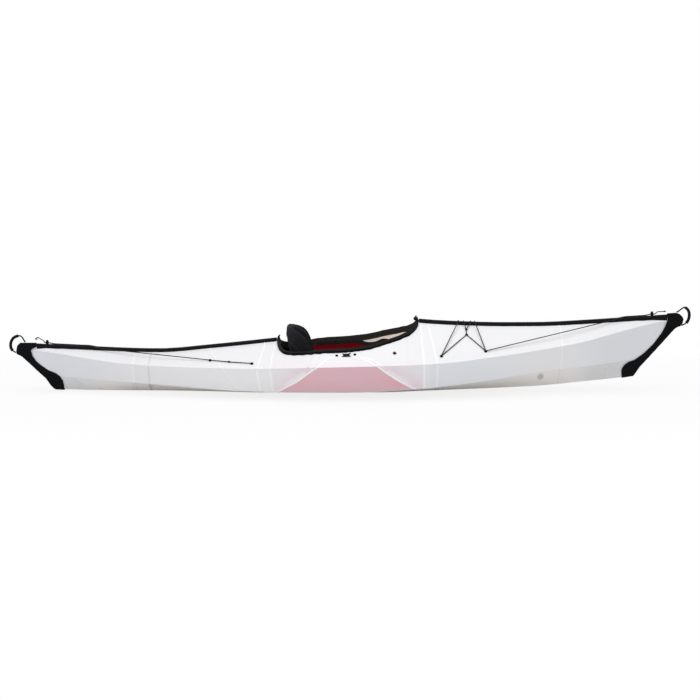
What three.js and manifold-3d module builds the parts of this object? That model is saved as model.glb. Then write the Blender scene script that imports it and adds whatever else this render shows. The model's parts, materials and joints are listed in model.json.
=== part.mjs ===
// Folding kayak: a hull folded from one creased plastic sheet, clamped along its ridge by two channels,
// with end fairings, a lift-off cockpit rim, a folding backrest, a sliding footrest and deck cords.
// Millimetres. +X points to the bow, +Y to port, +Z up, and z is 0 under the flat keel strip.

import * as THREE from 'three';
import { mergeVertices } from 'three/addons/utils/BufferGeometryUtils.js';
import Module from 'manifold-3d';

const wasm = await Module();
wasm.setup();

// Driving dimensions of the boat
const boatLength = 3734;
const beam = 630;
const sheerHeight = 400;
const sheetThickness = 5;
const seamGap = 1;
const seamFlangeHeight = 12;
const foldDepth = 0.8;
const foldWidth = 8;
const touchGap = 0.3;

const halfLength = boatLength / 2;
const halfBeam = beam / 2;
const flangeHalfWidth = sheetThickness + seamGap / 2;

// Lines of the folded hull: share of the half length, of the half beam and of the sheer height
const keelShares = [
  [-1.0, 0.018, 0.075],
  [-0.86, 0.025, 0.033],
  [-0.749, 0.04, 0.023],
  [-0.509, 0.075, 0.02],
  [-0.329, 0.105, 0.005],
  [-0.268, 0.114, 0],
  [0.107, 0.114, 0],
  [0.197, 0.11, 0.018],
  [0.394, 0.085, 0.052],
  [0.573, 0.06, 0.09],
  [0.693, 0.042, 0.143],
  [0.819, 0.025, 0.205],
  [1.0, 0.018, 0.36],
];
const chineShares = [
  [-1.0, 0.019, 0.25],
  [-0.86, 0.089, 0.205],
  [-0.636, 0.381, 0.18],
  [-0.509, 0.54, 0.155],
  [-0.327, 0.714, 0.113],
  [-0.15, 0.785, 0.1],
  [0, 0.794, 0.1],
  [0.203, 0.746, 0.145],
  [0.41, 0.556, 0.235],
  [0.573, 0.365, 0.335],
  [0.693, 0.254, 0.39],
  [0.833, 0.07, 0.445],
  [1.0, 0.019, 0.54],
];
const gunwaleShares = [
  [-1.0, 0.019, 0.61],
  [-0.948, 0.044, 0.592],
  [-0.824, 0.238, 0.533],
  [-0.749, 0.381, 0.495],
  [-0.641, 0.524, 0.455],
  [-0.509, 0.692, 0.445],
  [-0.329, 0.873, 0.448],
  [-0.089, 1, 0.48],
  [0.097, 0.99, 0.498],
  [0.259, 0.905, 0.52],
  [0.41, 0.737, 0.58],
  [0.573, 0.524, 0.668],
  [0.693, 0.365, 0.748],
  [0.818, 0.184, 0.885],
  [0.95, 0.032, 1.008],
  [1.0, 0.019, 1.035],
];
const ridgeShares = [
  [-1.0, 0.64],
  [-0.942, 0.633],
  [-0.824, 0.605],
  [-0.569, 0.563],
  [-0.419, 0.62],
  [-0.245, 0.705],
  [-0.194, 0.733],
  [-0.137, 0.793],
  [-0.046, 0.938],
  [0.042, 1.053],
  [0.095, 1.093],
  [0.148, 1.063],
  [0.206, 0.985],
  [0.332, 0.95],
  [0.453, 0.935],
  [0.573, 0.938],
  [0.693, 0.965],
  [0.818, 1.003],
  [0.952, 1.045],
  [1.0, 1.063],
];

// Folds across the hull: share of the half length where each meets the keel, chine, gunwale and ridge,
// and the number of bays between it and the fold before it
const foldShares = [
  { place: [-0.643, -0.643, -0.643, -0.643], bays: 8 },
  { place: [-0.595, -0.595, -0.595, -0.595], bays: 1 },
  { place: [-0.3, -0.324, -0.374, -0.422], bays: 5 },
  { place: [-0.262, -0.2637, -0.272, -0.2515], bays: 2 },
  { place: [-0.225, -0.226, -0.233, -0.2225], bays: 1 },
  { place: [-0.214, -0.214, -0.096, -0.035], bays: 6 },
  { place: [0.198, 0.197, 0.08, 0.032], bays: 8 },
  { place: [0.22, 0.2205, 0.2195, 0.2125], bays: 6 },
  { place: [0.259, 0.2585, 0.2585, 0.2348], bays: 1 },
  { place: [0.6315, 0.6315, 0.6315, 0.6315], bays: 7 },
];
const bowBays = 8;

// Raked ends of the sheet, from above the deck to below the keel
const bowStemShares = [
  [0.964, 1.3],
  [0.9655, 0.89],
  [0.8645, 0.3575],
  [0.847, 0.25],
  [0.835, -0.2],
];
const sternStemShares = [
  [-0.878, -0.2],
  [-0.8865, 0.085],
  [-0.9035, 0.1925],
  [-0.967, 0.47],
  [-0.966, 1.3],
];

// Materials, one for each mesh so that each can be changed by itself
const finishes = {
  sheet: { color: 0xe6e6ea, roughness: 0.45, metalness: 0 },
  redSheet: { color: 0x9b1620, roughness: 0.45, metalness: 0 },
  blackPlastic: { color: 0x17191c, roughness: 0.5, metalness: 0 },
  greyPlastic: { color: 0x6d7073, roughness: 0.45, metalness: 0 },
  blackFabric: { color: 0x1b1c1f, roughness: 0.9, metalness: 0 },
  cord: { color: 0x202226, roughness: 0.85, metalness: 0 },
  foam: { color: 0x25262a, roughness: 0.95, metalness: 0 },
  aluminium: { color: 0xa9acb0, roughness: 0.35, metalness: 0.9 },
};

// Geometry helpers

const cordSides = 6;
const ballSegments = 8;
const turnedSides = 12;

function dropFlatTriangles(indices) {
  const kept = [];
  for (let i = 0; i < indices.length; i += 3) {
    const [a, b, c] = [indices[i], indices[i + 1], indices[i + 2]];
    if (a !== b && b !== c && c !== a) {
      kept.push(a, b, c);
    }
  }
  return kept;
}

function signedVolume(positions, indices) {
  const corner = (i) => new THREE.Vector3().fromArray(positions, indices[i] * 3);
  let sum = 0;
  for (let i = 0; i < indices.length; i += 3) {
    sum += corner(i).dot(corner(i + 1).cross(corner(i + 2)));
  }
  return sum;
}

function toSolid(geometry) {
  const bare = geometry.clone();
  bare.deleteAttribute('normal');
  bare.deleteAttribute('uv');
  const merged = mergeVertices(bare);
  const positions = merged.attributes.position.array;
  const indices = dropFlatTriangles([...merged.index.array]);
  if (signedVolume(positions, indices) < 0) {
    indices.reverse();
  }
  return new wasm.Manifold(new wasm.Mesh({
    numProp: 3,
    vertProperties: new Float32Array(positions),
    triVerts: new Uint32Array(indices),
  }));
}

function toGeometry(solid) {
  const { vertProperties, triVerts } = solid.getMesh();
  const geometry = new THREE.BufferGeometry();
  geometry.setAttribute('position', new THREE.Float32BufferAttribute(vertProperties, 3));
  geometry.setIndex([...triVerts]);
  geometry.computeVertexNormals();
  return geometry;
}

function unite(solids) {
  return solids.reduce((sum, solid) => sum.add(solid));
}

function part(name, solid, finish) {
  const mesh = new THREE.Mesh(toGeometry(solid), new THREE.MeshStandardMaterial(finishes[finish]));
  mesh.name = name;
  return mesh;
}

// Triangles that close one ring of points, found in the plane that faces the ring most
function capTriangles(ring) {
  const normal = new THREE.Vector3();
  ring.forEach((p, i) => normal.add(p.clone().cross(ring[(i + 1) % ring.length])));
  normal.normalize();
  const aside = Math.abs(normal.z) < Math.SQRT1_2 ? new THREE.Vector3(0, 0, 1) : new THREE.Vector3(1, 0, 0);
  const across = aside.clone().cross(normal).normalize();
  const along = normal.clone().cross(across);
  const flat = ring.map((p) => new THREE.Vector2(p.dot(across), p.dot(along)));
  return THREE.ShapeUtils.triangulateShape(flat, []);
}

// Skin through a row of rings with equal counts of points: capped at both ends, or joined in a circle.
// Each four-cornered bay is split along its shorter diagonal, so that nested skins bend alike.
function loft(rings, isRound = false) {
  const count = rings[0].length;
  const positions = rings.flat().flatMap((p) => [p.x, p.y, p.z]);
  const indices = [];
  const spans = isRound ? rings.length : rings.length - 1;
  for (let r = 0; r < spans; r++) {
    const here = r * count;
    const next = ((r + 1) % rings.length) * count;
    for (let i = 0; i < count; i++) {
      const j = (i + 1) % count;
      const nextRing = rings[(r + 1) % rings.length];
      const isForward = rings[r][i].distanceTo(nextRing[j]) <= rings[r][j].distanceTo(nextRing[i]);
      if (isForward) {
        indices.push(here + i, here + j, next + j, here + i, next + j, next + i);
      } else {
        indices.push(here + i, here + j, next + i, here + j, next + j, next + i);
      }
    }
  }
  if (!isRound) {
    const last = (rings.length - 1) * count;
    capTriangles(rings[0]).forEach(([a, b, c]) => indices.push(c, b, a));
    capTriangles(rings.at(-1)).forEach(([a, b, c]) => indices.push(last + a, last + b, last + c));
  }
  const geometry = new THREE.BufferGeometry();
  geometry.setAttribute('position', new THREE.Float32BufferAttribute(positions, 3));
  geometry.setIndex(indices);
  return toSolid(geometry);
}

// Prism across the boat from an outline of [x, z] points
function sidePrism(outline, width) {
  const shape = new THREE.Shape(outline.map(([x, z]) => new THREE.Vector2(x, z)));
  const geometry = new THREE.ExtrudeGeometry(shape, { depth: width, bevelEnabled: false });
  geometry.rotateX(Math.PI / 2);
  geometry.translate(0, width / 2, 0);
  return toSolid(geometry);
}

// Upright prism from an outline of [x, y] points
function planPrism(outline, bottom, top) {
  const shape = new THREE.Shape(outline.map(([x, y]) => new THREE.Vector2(x, y)));
  const geometry = new THREE.ExtrudeGeometry(shape, { depth: top - bottom, bevelEnabled: false });
  geometry.translate(0, 0, bottom);
  return toSolid(geometry);
}

function box(length, width, height, x, y, z) {
  const geometry = new THREE.BoxGeometry(length, width, height);
  geometry.translate(x, y, z);
  return toSolid(geometry);
}

function ball(radius, centre) {
  const geometry = new THREE.SphereGeometry(radius, ballSegments, ballSegments / 2);
  geometry.translate(centre.x, centre.y, centre.z);
  return toSolid(geometry);
}

// Upright turned shape on z = 0, from a table with a share of its radius and of its height in each row
function turned(profileShares, radius, height) {
  const profile = profileShares.map(([radiusShare, heightShare]) => new THREE.Vector2(
    radiusShare * radius,
    heightShare * height,
  ));
  return new THREE.LatheGeometry(profile, turnedSides).rotateX(Math.PI / 2);
}

function roundShape(radius, sides) {
  const points = [];
  for (let i = 0; i < sides; i++) {
    const turn = ((i + 0.5) / sides) * Math.PI * 2;
    points.push(new THREE.Vector2(Math.cos(turn) * radius, Math.sin(turn) * radius));
  }
  return new THREE.Shape(points);
}

function tube(points, radius, steps, sides = cordSides) {
  const path = new THREE.CatmullRomCurve3(points, false, 'centripetal');
  const options = { steps, extrudePath: path, bevelEnabled: false };
  return toSolid(new THREE.ExtrudeGeometry(roundShape(radius, sides), options));
}

// Path whose steps fall on its own points, with the direction halved at each bend
class StepPath extends THREE.Curve {
  constructor(points) {
    super();
    this.points = points;
  }

  getPoint(t, target = new THREE.Vector3()) {
    const place = t * (this.points.length - 1);
    const before = Math.min(Math.floor(place), this.points.length - 2);
    return target.copy(this.points[before]).lerp(this.points[before + 1], place - before);
  }

  getPointAt(t, target) {
    return this.getPoint(t, target);
  }

  getTangentAt(t, target = new THREE.Vector3()) {
    const near = Math.round(t * (this.points.length - 1));
    const here = this.points[near];
    const before = this.points[Math.max(near - 1, 0)];
    const after = this.points[Math.min(near + 1, this.points.length - 1)];
    target.set(0, 0, 0);
    if (near > 0) {
      target.add(here.clone().sub(before).normalize());
    }
    if (near < this.points.length - 1) {
      target.add(after.clone().sub(here).normalize());
    }
    return target.normalize();
  }
}

function steppedTube(points, radius) {
  const options = { steps: points.length - 1, extrudePath: new StepPath(points), bevelEnabled: false };
  return toSolid(new THREE.ExtrudeGeometry(roundShape(radius, cordSides), options));
}

// Smooth value between the rows of a table without overshoot, so a level stretch stays level
function smoothValue(rows, column, at) {
  const last = rows.length - 1;
  const x = (i) => rows[i][0];
  const y = (i) => rows[i][column];
  const place = THREE.MathUtils.clamp(at, x(0), x(last));
  let i = 0;
  while (i < last - 1 && place > x(i + 1)) {
    i += 1;
  }
  const rise = (k) => (y(k + 1) - y(k)) / (x(k + 1) - x(k));
  const slopeAt = (k) => {
    if (k === 0) {
      return rise(0);
    }
    if (k === last) {
      return rise(last - 1);
    }
    const [before, after] = [rise(k - 1), rise(k)];
    return before * after <= 0 ? 0 : (2 * before * after) / (before + after);
  };
  const width = x(i + 1) - x(i);
  const t = (place - x(i)) / width;
  const startPull = width * slopeAt(i);
  const endPull = width * slopeAt(i + 1);
  return y(i) * (1 - t) ** 2 * (1 + 2 * t) + startPull * t * (1 - t) ** 2
    + y(i + 1) * t ** 2 * (3 - 2 * t) - endPull * t ** 2 * (1 - t);
}

// Hull

function linePoint(table, x) {
  const width = halfBeam * smoothValue(table, 1, x / halfLength);
  const height = sheerHeight * smoothValue(table, 2, x / halfLength);
  return new THREE.Vector2(Math.max(width, flangeHalfWidth), height);
}

// Half of the section at x as [y, z] points: keel middle, keel edge, chine, gunwale, ridge, flange top
function halfSection(x) {
  const keelEdge = linePoint(keelShares, x);
  const ridgeHeight = seamHeight(x);
  return [
    new THREE.Vector2(0, keelEdge.y),
    keelEdge,
    linePoint(chineShares, x),
    linePoint(gunwaleShares, x),
    new THREE.Vector2(flangeHalfWidth, ridgeHeight),
    new THREE.Vector2(flangeHalfWidth, ridgeHeight + seamFlangeHeight),
  ];
}

// The same half section moved inward by a distance, or outward by a negative one
function insetHalfSection(x, distance) {
  const points = halfSection(x);
  const inward = (a, b) => {
    const run = b.clone().sub(a).normalize();
    return new THREE.Vector2(-run.y, run.x);
  };
  return points.map((point, i) => {
    const before = i > 0 ? inward(points[i - 1], point) : new THREE.Vector2(0, 1);
    const after = i < points.length - 1 ? inward(point, points[i + 1]) : before;
    const mitre = before.clone().add(after).normalize();
    const moved = point.clone().addScaledVector(mitre, distance / mitre.dot(before));
    const isFlangeTop = i === points.length - 1;
    const height = isFlangeTop ? point.y - Math.min(distance, 0) : moved.y;
    return new THREE.Vector2(i === 0 ? 0 : Math.max(moved.x, seamGap / 2), height);
  });
}

const lineOfPoint = [0, 0, 1, 2, 3, 3];

// Columns of the folded sheet, each as the x where it meets keel, chine, gunwale and ridge
function sheetColumns() {
  const ends = (share) => [share, share, share, share];
  const guides = [
    { place: ends(-1), bays: 0 },
    ...foldShares,
    { place: ends(1), bays: bowBays },
  ];
  const columns = [];
  guides.forEach(({ place, bays }, g) => {
    const isFold = g > 0 && g < guides.length - 1;
    const here = place.map((share) => share * halfLength);
    const start = columns.at(-1)?.at;
    const end = here.map((x) => x - (isFold ? foldWidth / 2 : 0));
    for (let b = 1; b < bays; b++) {
      columns.push({ at: start.map((x, k) => THREE.MathUtils.lerp(x, end[k], b / bays)), dent: 0 });
    }
    if (isFold) {
      columns.push({ at: here.map((x) => x - foldWidth / 2), dent: 0 });
      columns.push({ at: here, dent: foldDepth });
      columns.push({ at: here.map((x) => x + foldWidth / 2), dent: 0 });
    } else {
      columns.push({ at: here, dent: 0 });
    }
  });
  return columns;
}

function halfColumn(column, distance, pointCount) {
  return lineOfPoint.slice(0, pointCount).map((line, i) => {
    const x = column.at[line];
    const { x: y, y: z } = insetHalfSection(x, distance)[i];
    return new THREE.Vector3(x, y, z);
  });
}

// Both halves of a row of points that starts at the middle
function mirrored(half) {
  const starboard = half.slice(1).reverse().map((p) => new THREE.Vector3(p.x, -p.y, p.z));
  return [...starboard, ...half];
}

function columnPoints(column, distance, pointCount) {
  return mirrored(halfColumn(column, distance, pointCount));
}

// Everything between the raked ends of the sheet, moved outward by a clearance
function betweenStems(clearance) {
  const toOutline = ([lengthShare, heightShare]) => [
    lengthShare * halfLength + Math.sign(lengthShare) * clearance * Math.SQRT2,
    heightShare * sheerHeight,
  ];
  return sidePrism([...bowStemShares.map(toOutline), ...sternStemShares.map(toOutline)], beam * 2);
}

// Solid of the closed hull, moved inward by a distance: with its ridge flange, or without for what is inside
function hullBlank(distance, hasFlange = true) {
  const pointCount = hasFlange ? lineOfPoint.length : lineOfPoint.length - 1;
  return loft(sheetColumns().map((column) => columnPoints(column, distance, pointCount)));
}

function foldedSheet() {
  const rings = sheetColumns().map((column) => {
    const outer = columnPoints(column, column.dent, lineOfPoint.length);
    const inner = columnPoints(column, column.dent + sheetThickness, lineOfPoint.length);
    return [...outer, ...inner.reverse()];
  });
  return loft(rings);
}

// Height of the closed deck at a place, read straight down on its surface
const deckSurface = new THREE.Mesh(toGeometry(hullBlank(0, false)));
const skyHeight = sheerHeight * 2;
function deckTop(x, y) {
  const ray = new THREE.Raycaster(new THREE.Vector3(x, y, skyHeight), new THREE.Vector3(0, 0, -1));
  return ray.intersectObject(deckSurface)[0].point.z;
}

const probeStep = 4;
function deckNormal(x, y) {
  const riseAlong = (deckTop(x + probeStep, y) - deckTop(x - probeStep, y)) / (2 * probeStep);
  const riseAcross = (deckTop(x, y + probeStep) - deckTop(x, y - probeStep)) / (2 * probeStep);
  return new THREE.Vector3(-riseAlong, -riseAcross, 1).normalize();
}

function aboveDeck(x, y, lift) {
  return new THREE.Vector3(x, y, deckTop(x, y)).addScaledVector(deckNormal(x, y), lift);
}

// Solid of a geometry that stands on z = 0, moved to a place on the deck and trimmed to sit on the sheet
const closedHull = hullBlank(-touchGap);
function onDeck(geometry, x, y) {
  const up = deckNormal(x, y);
  const across = up.clone().cross(new THREE.Vector3(1, 0, 0)).normalize();
  const along = across.clone().cross(up);
  const matrix = new THREE.Matrix4().makeBasis(along, across, up);
  matrix.setPosition(aboveDeck(x, y, touchGap));
  return toSolid(geometry.clone().applyMatrix4(matrix)).subtract(closedHull);
}

// Cockpit rim

const cockpitLength = 793;
const cockpitWidth = 436;
const cockpitAft = -406;
const rimHeight = 15;
const rimWidth = 17;
const rimRounding = 2.5;
const skirtThickness = 5;
const skirtDepth = 21;
const rimSteps = 64;

// Outline of the rim: share of the cockpit length from its aft end, and of its half width
const cockpitShares = [
  [0, 0],
  [0.006, 0.275],
  [0.023, 0.53],
  [0.055, 0.72],
  [0.108, 0.83],
  [0.19, 0.905],
  [0.296, 0.968],
  [0.405, 1],
  [0.512, 0.998],
  [0.61, 0.972],
  [0.736, 0.885],
  [0.861, 0.7],
  [0.943, 0.47],
  [0.99, 0.21],
  [1, 0],
];

function cockpitOutline() {
  const place = ([lengthShare, widthShare], side) => new THREE.Vector3(
    cockpitAft + lengthShare * cockpitLength,
    (side * widthShare * cockpitWidth) / 2,
    0,
  );
  const port = cockpitShares.map((share) => place(share, 1));
  const starboard = cockpitShares.slice(1, -1).reverse().map((share) => place(share, -1));
  const curve = new THREE.CatmullRomCurve3([...port, ...starboard], true, 'centripetal');
  return curve.getSpacedPoints(rimSteps).slice(0, rimSteps);
}

// The cockpit outline moved inward, as points in plan
const rimOutline = cockpitOutline();
function insideRim(inset, i) {
  const before = rimOutline.at(i - 1);
  const after = rimOutline[(i + 1) % rimSteps];
  const along = after.clone().sub(before).normalize();
  const inward = new THREE.Vector3(along.y, -along.x, 0);
  return rimOutline[i].clone().addScaledVector(inward, inset);
}

// Ring that follows the cockpit outline, from a section of [inset, height] points at each step
function rimRing(sectionAt) {
  const rings = rimOutline.map((_, i) => sectionAt(i).map(([inset, height]) => {
    const place = insideRim(inset, i);
    return new THREE.Vector3(place.x, place.y, height);
  }));
  return loft(rings, true);
}

const deckAtRim = rimOutline.map((p) => deckTop(p.x, p.y));
const skirtInset = rimWidth - skirtThickness;
const openingInset = skirtInset - touchGap;
const deckAtSkirt = rimOutline.map((_, i) => {
  const place = insideRim(skirtInset, i);
  return deckTop(place.x, place.y);
});

function rimPrism(inset) {
  const outline = rimOutline.map((_, i) => {
    const place = insideRim(inset, i);
    return [place.x, place.y];
  });
  return planPrism(outline, sheerHeight / 2, skyHeight);
}

// What the cockpit takes from the sheet: the hole itself, and the ridge flange under the rim
function cockpitCut() {
  return rimPrism(-touchGap).subtract(hullBlank(0, false)).add(rimPrism(openingInset));
}

function coamingSolid() {
  const rim = rimRing((i) => [
    [0, deckAtRim[i] - rimHeight],
    [0, deckAtRim[i] + rimHeight - rimRounding],
    [rimRounding, deckAtRim[i] + rimHeight],
    [rimWidth - rimRounding, deckAtSkirt[i] + rimHeight],
    [rimWidth, deckAtSkirt[i] + rimHeight - rimRounding],
    [rimWidth, deckAtSkirt[i] - rimHeight],
  ]);
  const skirt = rimRing((i) => [
    [skirtInset, deckAtSkirt[i] + rimHeight / 2],
    [rimWidth, deckAtSkirt[i] + rimHeight / 2],
    [rimWidth, deckAtSkirt[i] - skirtDepth],
    [skirtInset, deckAtSkirt[i] - skirtDepth],
  ]);
  return rim.subtract(hullBlank(-touchGap, false)).add(skirt);
}

// Deck channels over the ridge flange

const channelHalfWidth = 10;
const channelHeight = 19;
const channelRounding = 4;
const channelStep = 90;
const channelEndGap = 1;
const frontChannelStart = cockpitAft + cockpitLength + channelEndGap;
const rearChannelStart = cockpitAft - channelEndGap;
const frontChannelEndShare = 0.951;
const rearChannelEndShare = -0.9384;

function seamHeight(x) {
  return sheerHeight * smoothValue(ridgeShares, 1, x / halfLength);
}

function deckChannel(start, endShare) {
  const end = endShare * halfLength;
  const count = Math.ceil(Math.abs(end - start) / channelStep);
  const rings = [];
  for (let i = 0; i <= count; i++) {
    const x = THREE.MathUtils.lerp(start, end, i / count);
    const seam = seamHeight(x);
    const half = [
      [channelHalfWidth, seam - channelHeight],
      [channelHalfWidth, seam + channelHeight - channelRounding],
      [channelHalfWidth - channelRounding, seam + channelHeight],
    ];
    const other = half.slice().reverse().map(([y, z]) => [-y, z]);
    rings.push([...half, ...other].map(([y, z]) => new THREE.Vector3(x, y, z)));
  }
  return loft(rings).subtract(closedHull);
}

// End fairings, each one moulded shell that hugs the raked end of the hull

const fairingWall = 3.5;
const hoodWall = 10;
const fairingGap = 0.4;

// Side outline of each fairing: share of the half length and of the sheer height
const bowFairingShares = [
  [0.952, 1.11],
  [0.98, 1.11],
  [0.99, 1.095],
  [0.996, 1.067],
  [1.0, 1.03],
  [0.997, 0.97],
  [0.99, 0.93],
  [0.982, 0.915],
  [0.974, 0.89],
  [0.873, 0.3575],
  [0.8555, 0.23],
  [0.8485, 0.205],
  [0.82, 0.15],
  [0.817, 0.3],
  [0.819, 0.34],
  [0.826, 0.39],
  [0.8365, 0.425],
  [0.8555, 0.4575],
  [0.8795, 0.5375],
  [0.9105, 0.6775],
  [0.9345, 0.8325],
  [0.947, 0.9475],
  [0.953, 1.0375],
];
const bowHoodShares = [
  [0.952, 1.11],
  [0.98, 1.11],
  [0.99, 1.095],
  [0.996, 1.067],
  [1.0, 1.03],
  [0.997, 0.97],
  [0.99, 0.93],
  [0.981, 0.925],
  [0.9435, 0.915],
  [0.947, 0.9475],
  [0.953, 1.0375],
];
const sternFairingShares = [
  [-0.9405, 0.685],
  [-0.99, 0.685],
  [-0.997, 0.655],
  [-1.0, 0.58],
  [-0.9985, 0.535],
  [-0.988, 0.51],
  [-0.984, 0.5],
  [-0.913, 0.1925],
  [-0.899, 0.09],
  [-0.89, 0.045],
  [-0.8785, 0.01],
  [-0.857, -0.05],
  [-0.859, 0.1],
  [-0.862, 0.17],
  [-0.8705, 0.23],
  [-0.883, 0.2725],
  [-0.906, 0.315],
  [-0.9275, 0.385],
  [-0.942, 0.445],
  [-0.9505, 0.5075],
  [-0.9565, 0.5875],
  [-0.9505, 0.615],
  [-0.94, 0.6375],
];
const sternHoodShares = [
  [-0.9405, 0.685],
  [-0.99, 0.685],
  [-0.997, 0.655],
  [-1.0, 0.58],
  [-0.9985, 0.535],
  [-0.988, 0.515],
  [-0.9515, 0.515],
  [-0.9565, 0.5875],
  [-0.9505, 0.615],
  [-0.94, 0.6375],
];

function fairing(outlineShares, hoodShares) {
  const toOutline = ([lengthShare, heightShare]) => [lengthShare * halfLength, heightShare * sheerHeight];
  const shell = hullBlank(-fairingGap - fairingWall).intersect(sidePrism(outlineShares.map(toOutline), beam));
  const hood = hullBlank(-fairingGap - hoodWall).intersect(sidePrism(hoodShares.map(toOutline), beam));
  const hullSpace = hullBlank(-fairingGap).intersect(betweenStems(fairingGap));
  return shell.add(hood).subtract(hullSpace);
}

// Floorboard and bulkheads

const liningGap = 0.5;
const wingShare = 0.93;

function floorboardSolid() {
  const columns = sheetColumns();
  const isFold = (column) => column.dent > 0;
  const folds = columns.map((column, i) => (isFold(column) ? i : -1)).filter((i) => i >= 0);
  const middle = columns.slice(folds[5] + 1, folds[6]);
  const layer = (column, distance) => {
    const [keel, keelEdge, chine, gunwale] = halfColumn(column, distance, lineOfPoint.length);
    return mirrored([keel, keelEdge, chine, chine.clone().lerp(gunwale, wingShare)]);
  };
  const near = sheetThickness + liningGap;
  return loft(middle.map((column) => [
    ...layer(column, near),
    ...layer(column, near + sheetThickness).reverse(),
  ]));
}

const frontBulkheadShare = 0.4553;
const rearBulkheadShare = -0.2437;

function bulkhead(lengthShare) {
  const slab = box(sheetThickness, beam, 2 * skyHeight, lengthShare * halfLength, 0, 0);
  return hullBlank(sheetThickness + liningGap, false).intersect(slab);
}

// Fittings on the rim

const strapThickness = 2.4;
const sideStrapWidth = 22;
const sideStrapDrop = 6;
const sideStrapAft = -204;
const sideStrapFore = 240;
const sideStrapSlack = 26;
const sideBucklePlace = -99;
const sideBuckleThickness = 4;
const sideBuckleBorder = 3;

// Share of its length along a side strap, and share of the slack by which it sags there
const strapSlackShares = [[0, 0], [0.58, 0], [0.68, 0.8], [0.8, 1], [0.88, 0.45], [1, 0.9]];

// Stretch of the rim ring between two steps, capped at both ends
function rimBand(steps, sectionAt) {
  const rings = steps.map((i) => sectionAt(i).map(([inset, height]) => {
    const place = insideRim(inset, i);
    return new THREE.Vector3(place.x, place.y, height);
  }));
  return loft(rings);
}

function rimStepsOnSide(side, aft, fore) {
  return rimOutline
    .map((p, i) => ({ p, i }))
    .filter(({ p }) => p.y * side > 0 && p.x > aft && p.x < fore)
    .map(({ i }) => i);
}

function bandSection(inner, outer, low, high) {
  return [[inner, low], [outer, low], [outer, high], [inner, high]];
}

const strapInset = rimWidth + touchGap;

function sideStrap(side) {
  return rimBand(rimStepsOnSide(side, sideStrapAft, sideStrapFore), (i) => {
    const along = (rimOutline[i].x - sideStrapAft) / (sideStrapFore - sideStrapAft);
    const high = deckAtSkirt[i] - sideStrapDrop - sideStrapSlack * smoothValue(strapSlackShares, 1, along);
    return bandSection(strapInset, strapInset + strapThickness, high - sideStrapWidth, high);
  });
}

function sideStrapBuckle(side) {
  const steps = rimStepsOnSide(side, sideBucklePlace, sideStrapFore);
  const pair = steps.sort((a, b) => rimOutline[a].x - rimOutline[b].x).slice(0, 2);
  const inner = strapInset + strapThickness + touchGap;
  return rimBand(pair, (i) => {
    const high = deckAtSkirt[i] - sideStrapDrop + sideBuckleBorder;
    const low = high - sideStrapWidth - 2 * sideBuckleBorder;
    return bandSection(inner, inner + sideBuckleThickness, low, high);
  });
}

// Buckle with a round knob that stands on the front of the rim
const frontBuckleLength = 24;
const frontBuckleOverhang = 11;
const frontBuckleWidth = 30;
const frontBuckleHeight = 7;
const knobRadius = 6;
const knobHeight = 11;
const knobShares = [[0, 0], [0.6, 0], [0.6, 0.35], [1, 0.55], [0.8, 0.9], [0, 1]];

// The rim with a clearance above it and on the side where the cockpit is
function rimSpace(rim, direction) {
  const moved = (x, z) => toSolid(toGeometry(rim).translate(x * direction, 0, z));
  return rim.add(moved(0, touchGap)).add(moved(touchGap, 0));
}

function frontBuckle(rim) {
  const rimInside = cockpitAft + cockpitLength - rimWidth;
  const x = rimInside + frontBuckleLength / 2 - frontBuckleOverhang;
  const seat = deckTop(rimInside, 0) + rimHeight;
  const base = box(frontBuckleLength, frontBuckleWidth, 2 * frontBuckleHeight, x, 0, seat);
  const knob = turned(knobShares, knobRadius, knobHeight);
  knob.translate(x, 0, seat + frontBuckleHeight - touchGap);
  return base.add(toSolid(knob)).subtract(rimSpace(rim, -1));
}

// Hook tab that stands on the back of the rim
const rearHookLength = 16;
const rearHookSetback = 11;
const rearHookWidth = 22;
const rearHookHeight = 18;
const rearHookShares = [[-0.5, -0.5], [0.5, -0.5], [0.25, 0.33], [0.5, 1], [0, 0.9], [-0.5, 0.33]];

function rearHook(rim) {
  const x = cockpitAft + rearHookSetback;
  const seat = deckTop(x, 0) + rimHeight;
  const outline = rearHookShares.map(([lengthShare, heightShare]) => [
    x + lengthShare * rearHookLength,
    seat + heightShare * rearHookHeight,
  ]);
  return sidePrism(outline, rearHookWidth).subtract(rimSpace(rim, 1));
}

// Webbing that hangs from the back of the rim and the ring that it carries
const rearStrapWidth = 25;
const rearStrapLength = 52;
const rearStrapSlack = 0.6;
const ringRadius = 14;
const ringWire = 2.2;
const ringSides = 6;
const ringSteps = 18;

function rearStrapPlace() {
  const x = cockpitAft + strapInset + rearStrapSlack + strapThickness / 2;
  const top = deckTop(cockpitAft + skirtInset, 0) - rimRounding;
  return { x, top };
}

function rearStrap() {
  const { x, top } = rearStrapPlace();
  return box(strapThickness, rearStrapWidth, rearStrapLength, x, 0, top - rearStrapLength / 2);
}

function rearRing() {
  const { x, top } = rearStrapPlace();
  const ring = new THREE.TorusGeometry(ringRadius, ringWire, ringSides, ringSteps);
  ring.rotateY(Math.PI / 2);
  ring.translate(x, 0, top - rearStrapLength - touchGap - ringRadius - ringWire);
  return toSolid(ring);
}

// Clips and rivets on the deck

const baseSink = 3;
const clipLength = 50;
const clipWidth = 26;
const clipHeight = 4;
const clipPlace = -17;
const clipRivetPlaces = [-70, 30];
const clipOffset = 17;
const smallRivetRadius = 8.5;
const smallRivetHeight = 3.5;
const deckRivetRadius = 10.5;
const deckRivetHeight = 4.5;
const deckRivetShares = [0.1328, 0.743];
const clipSide = cockpitWidth / 2 + clipOffset;
const rivetShares = [[0, 0], [1, 0], [1, 0.6], [0.75, 0.87], [0, 1]];

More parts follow.
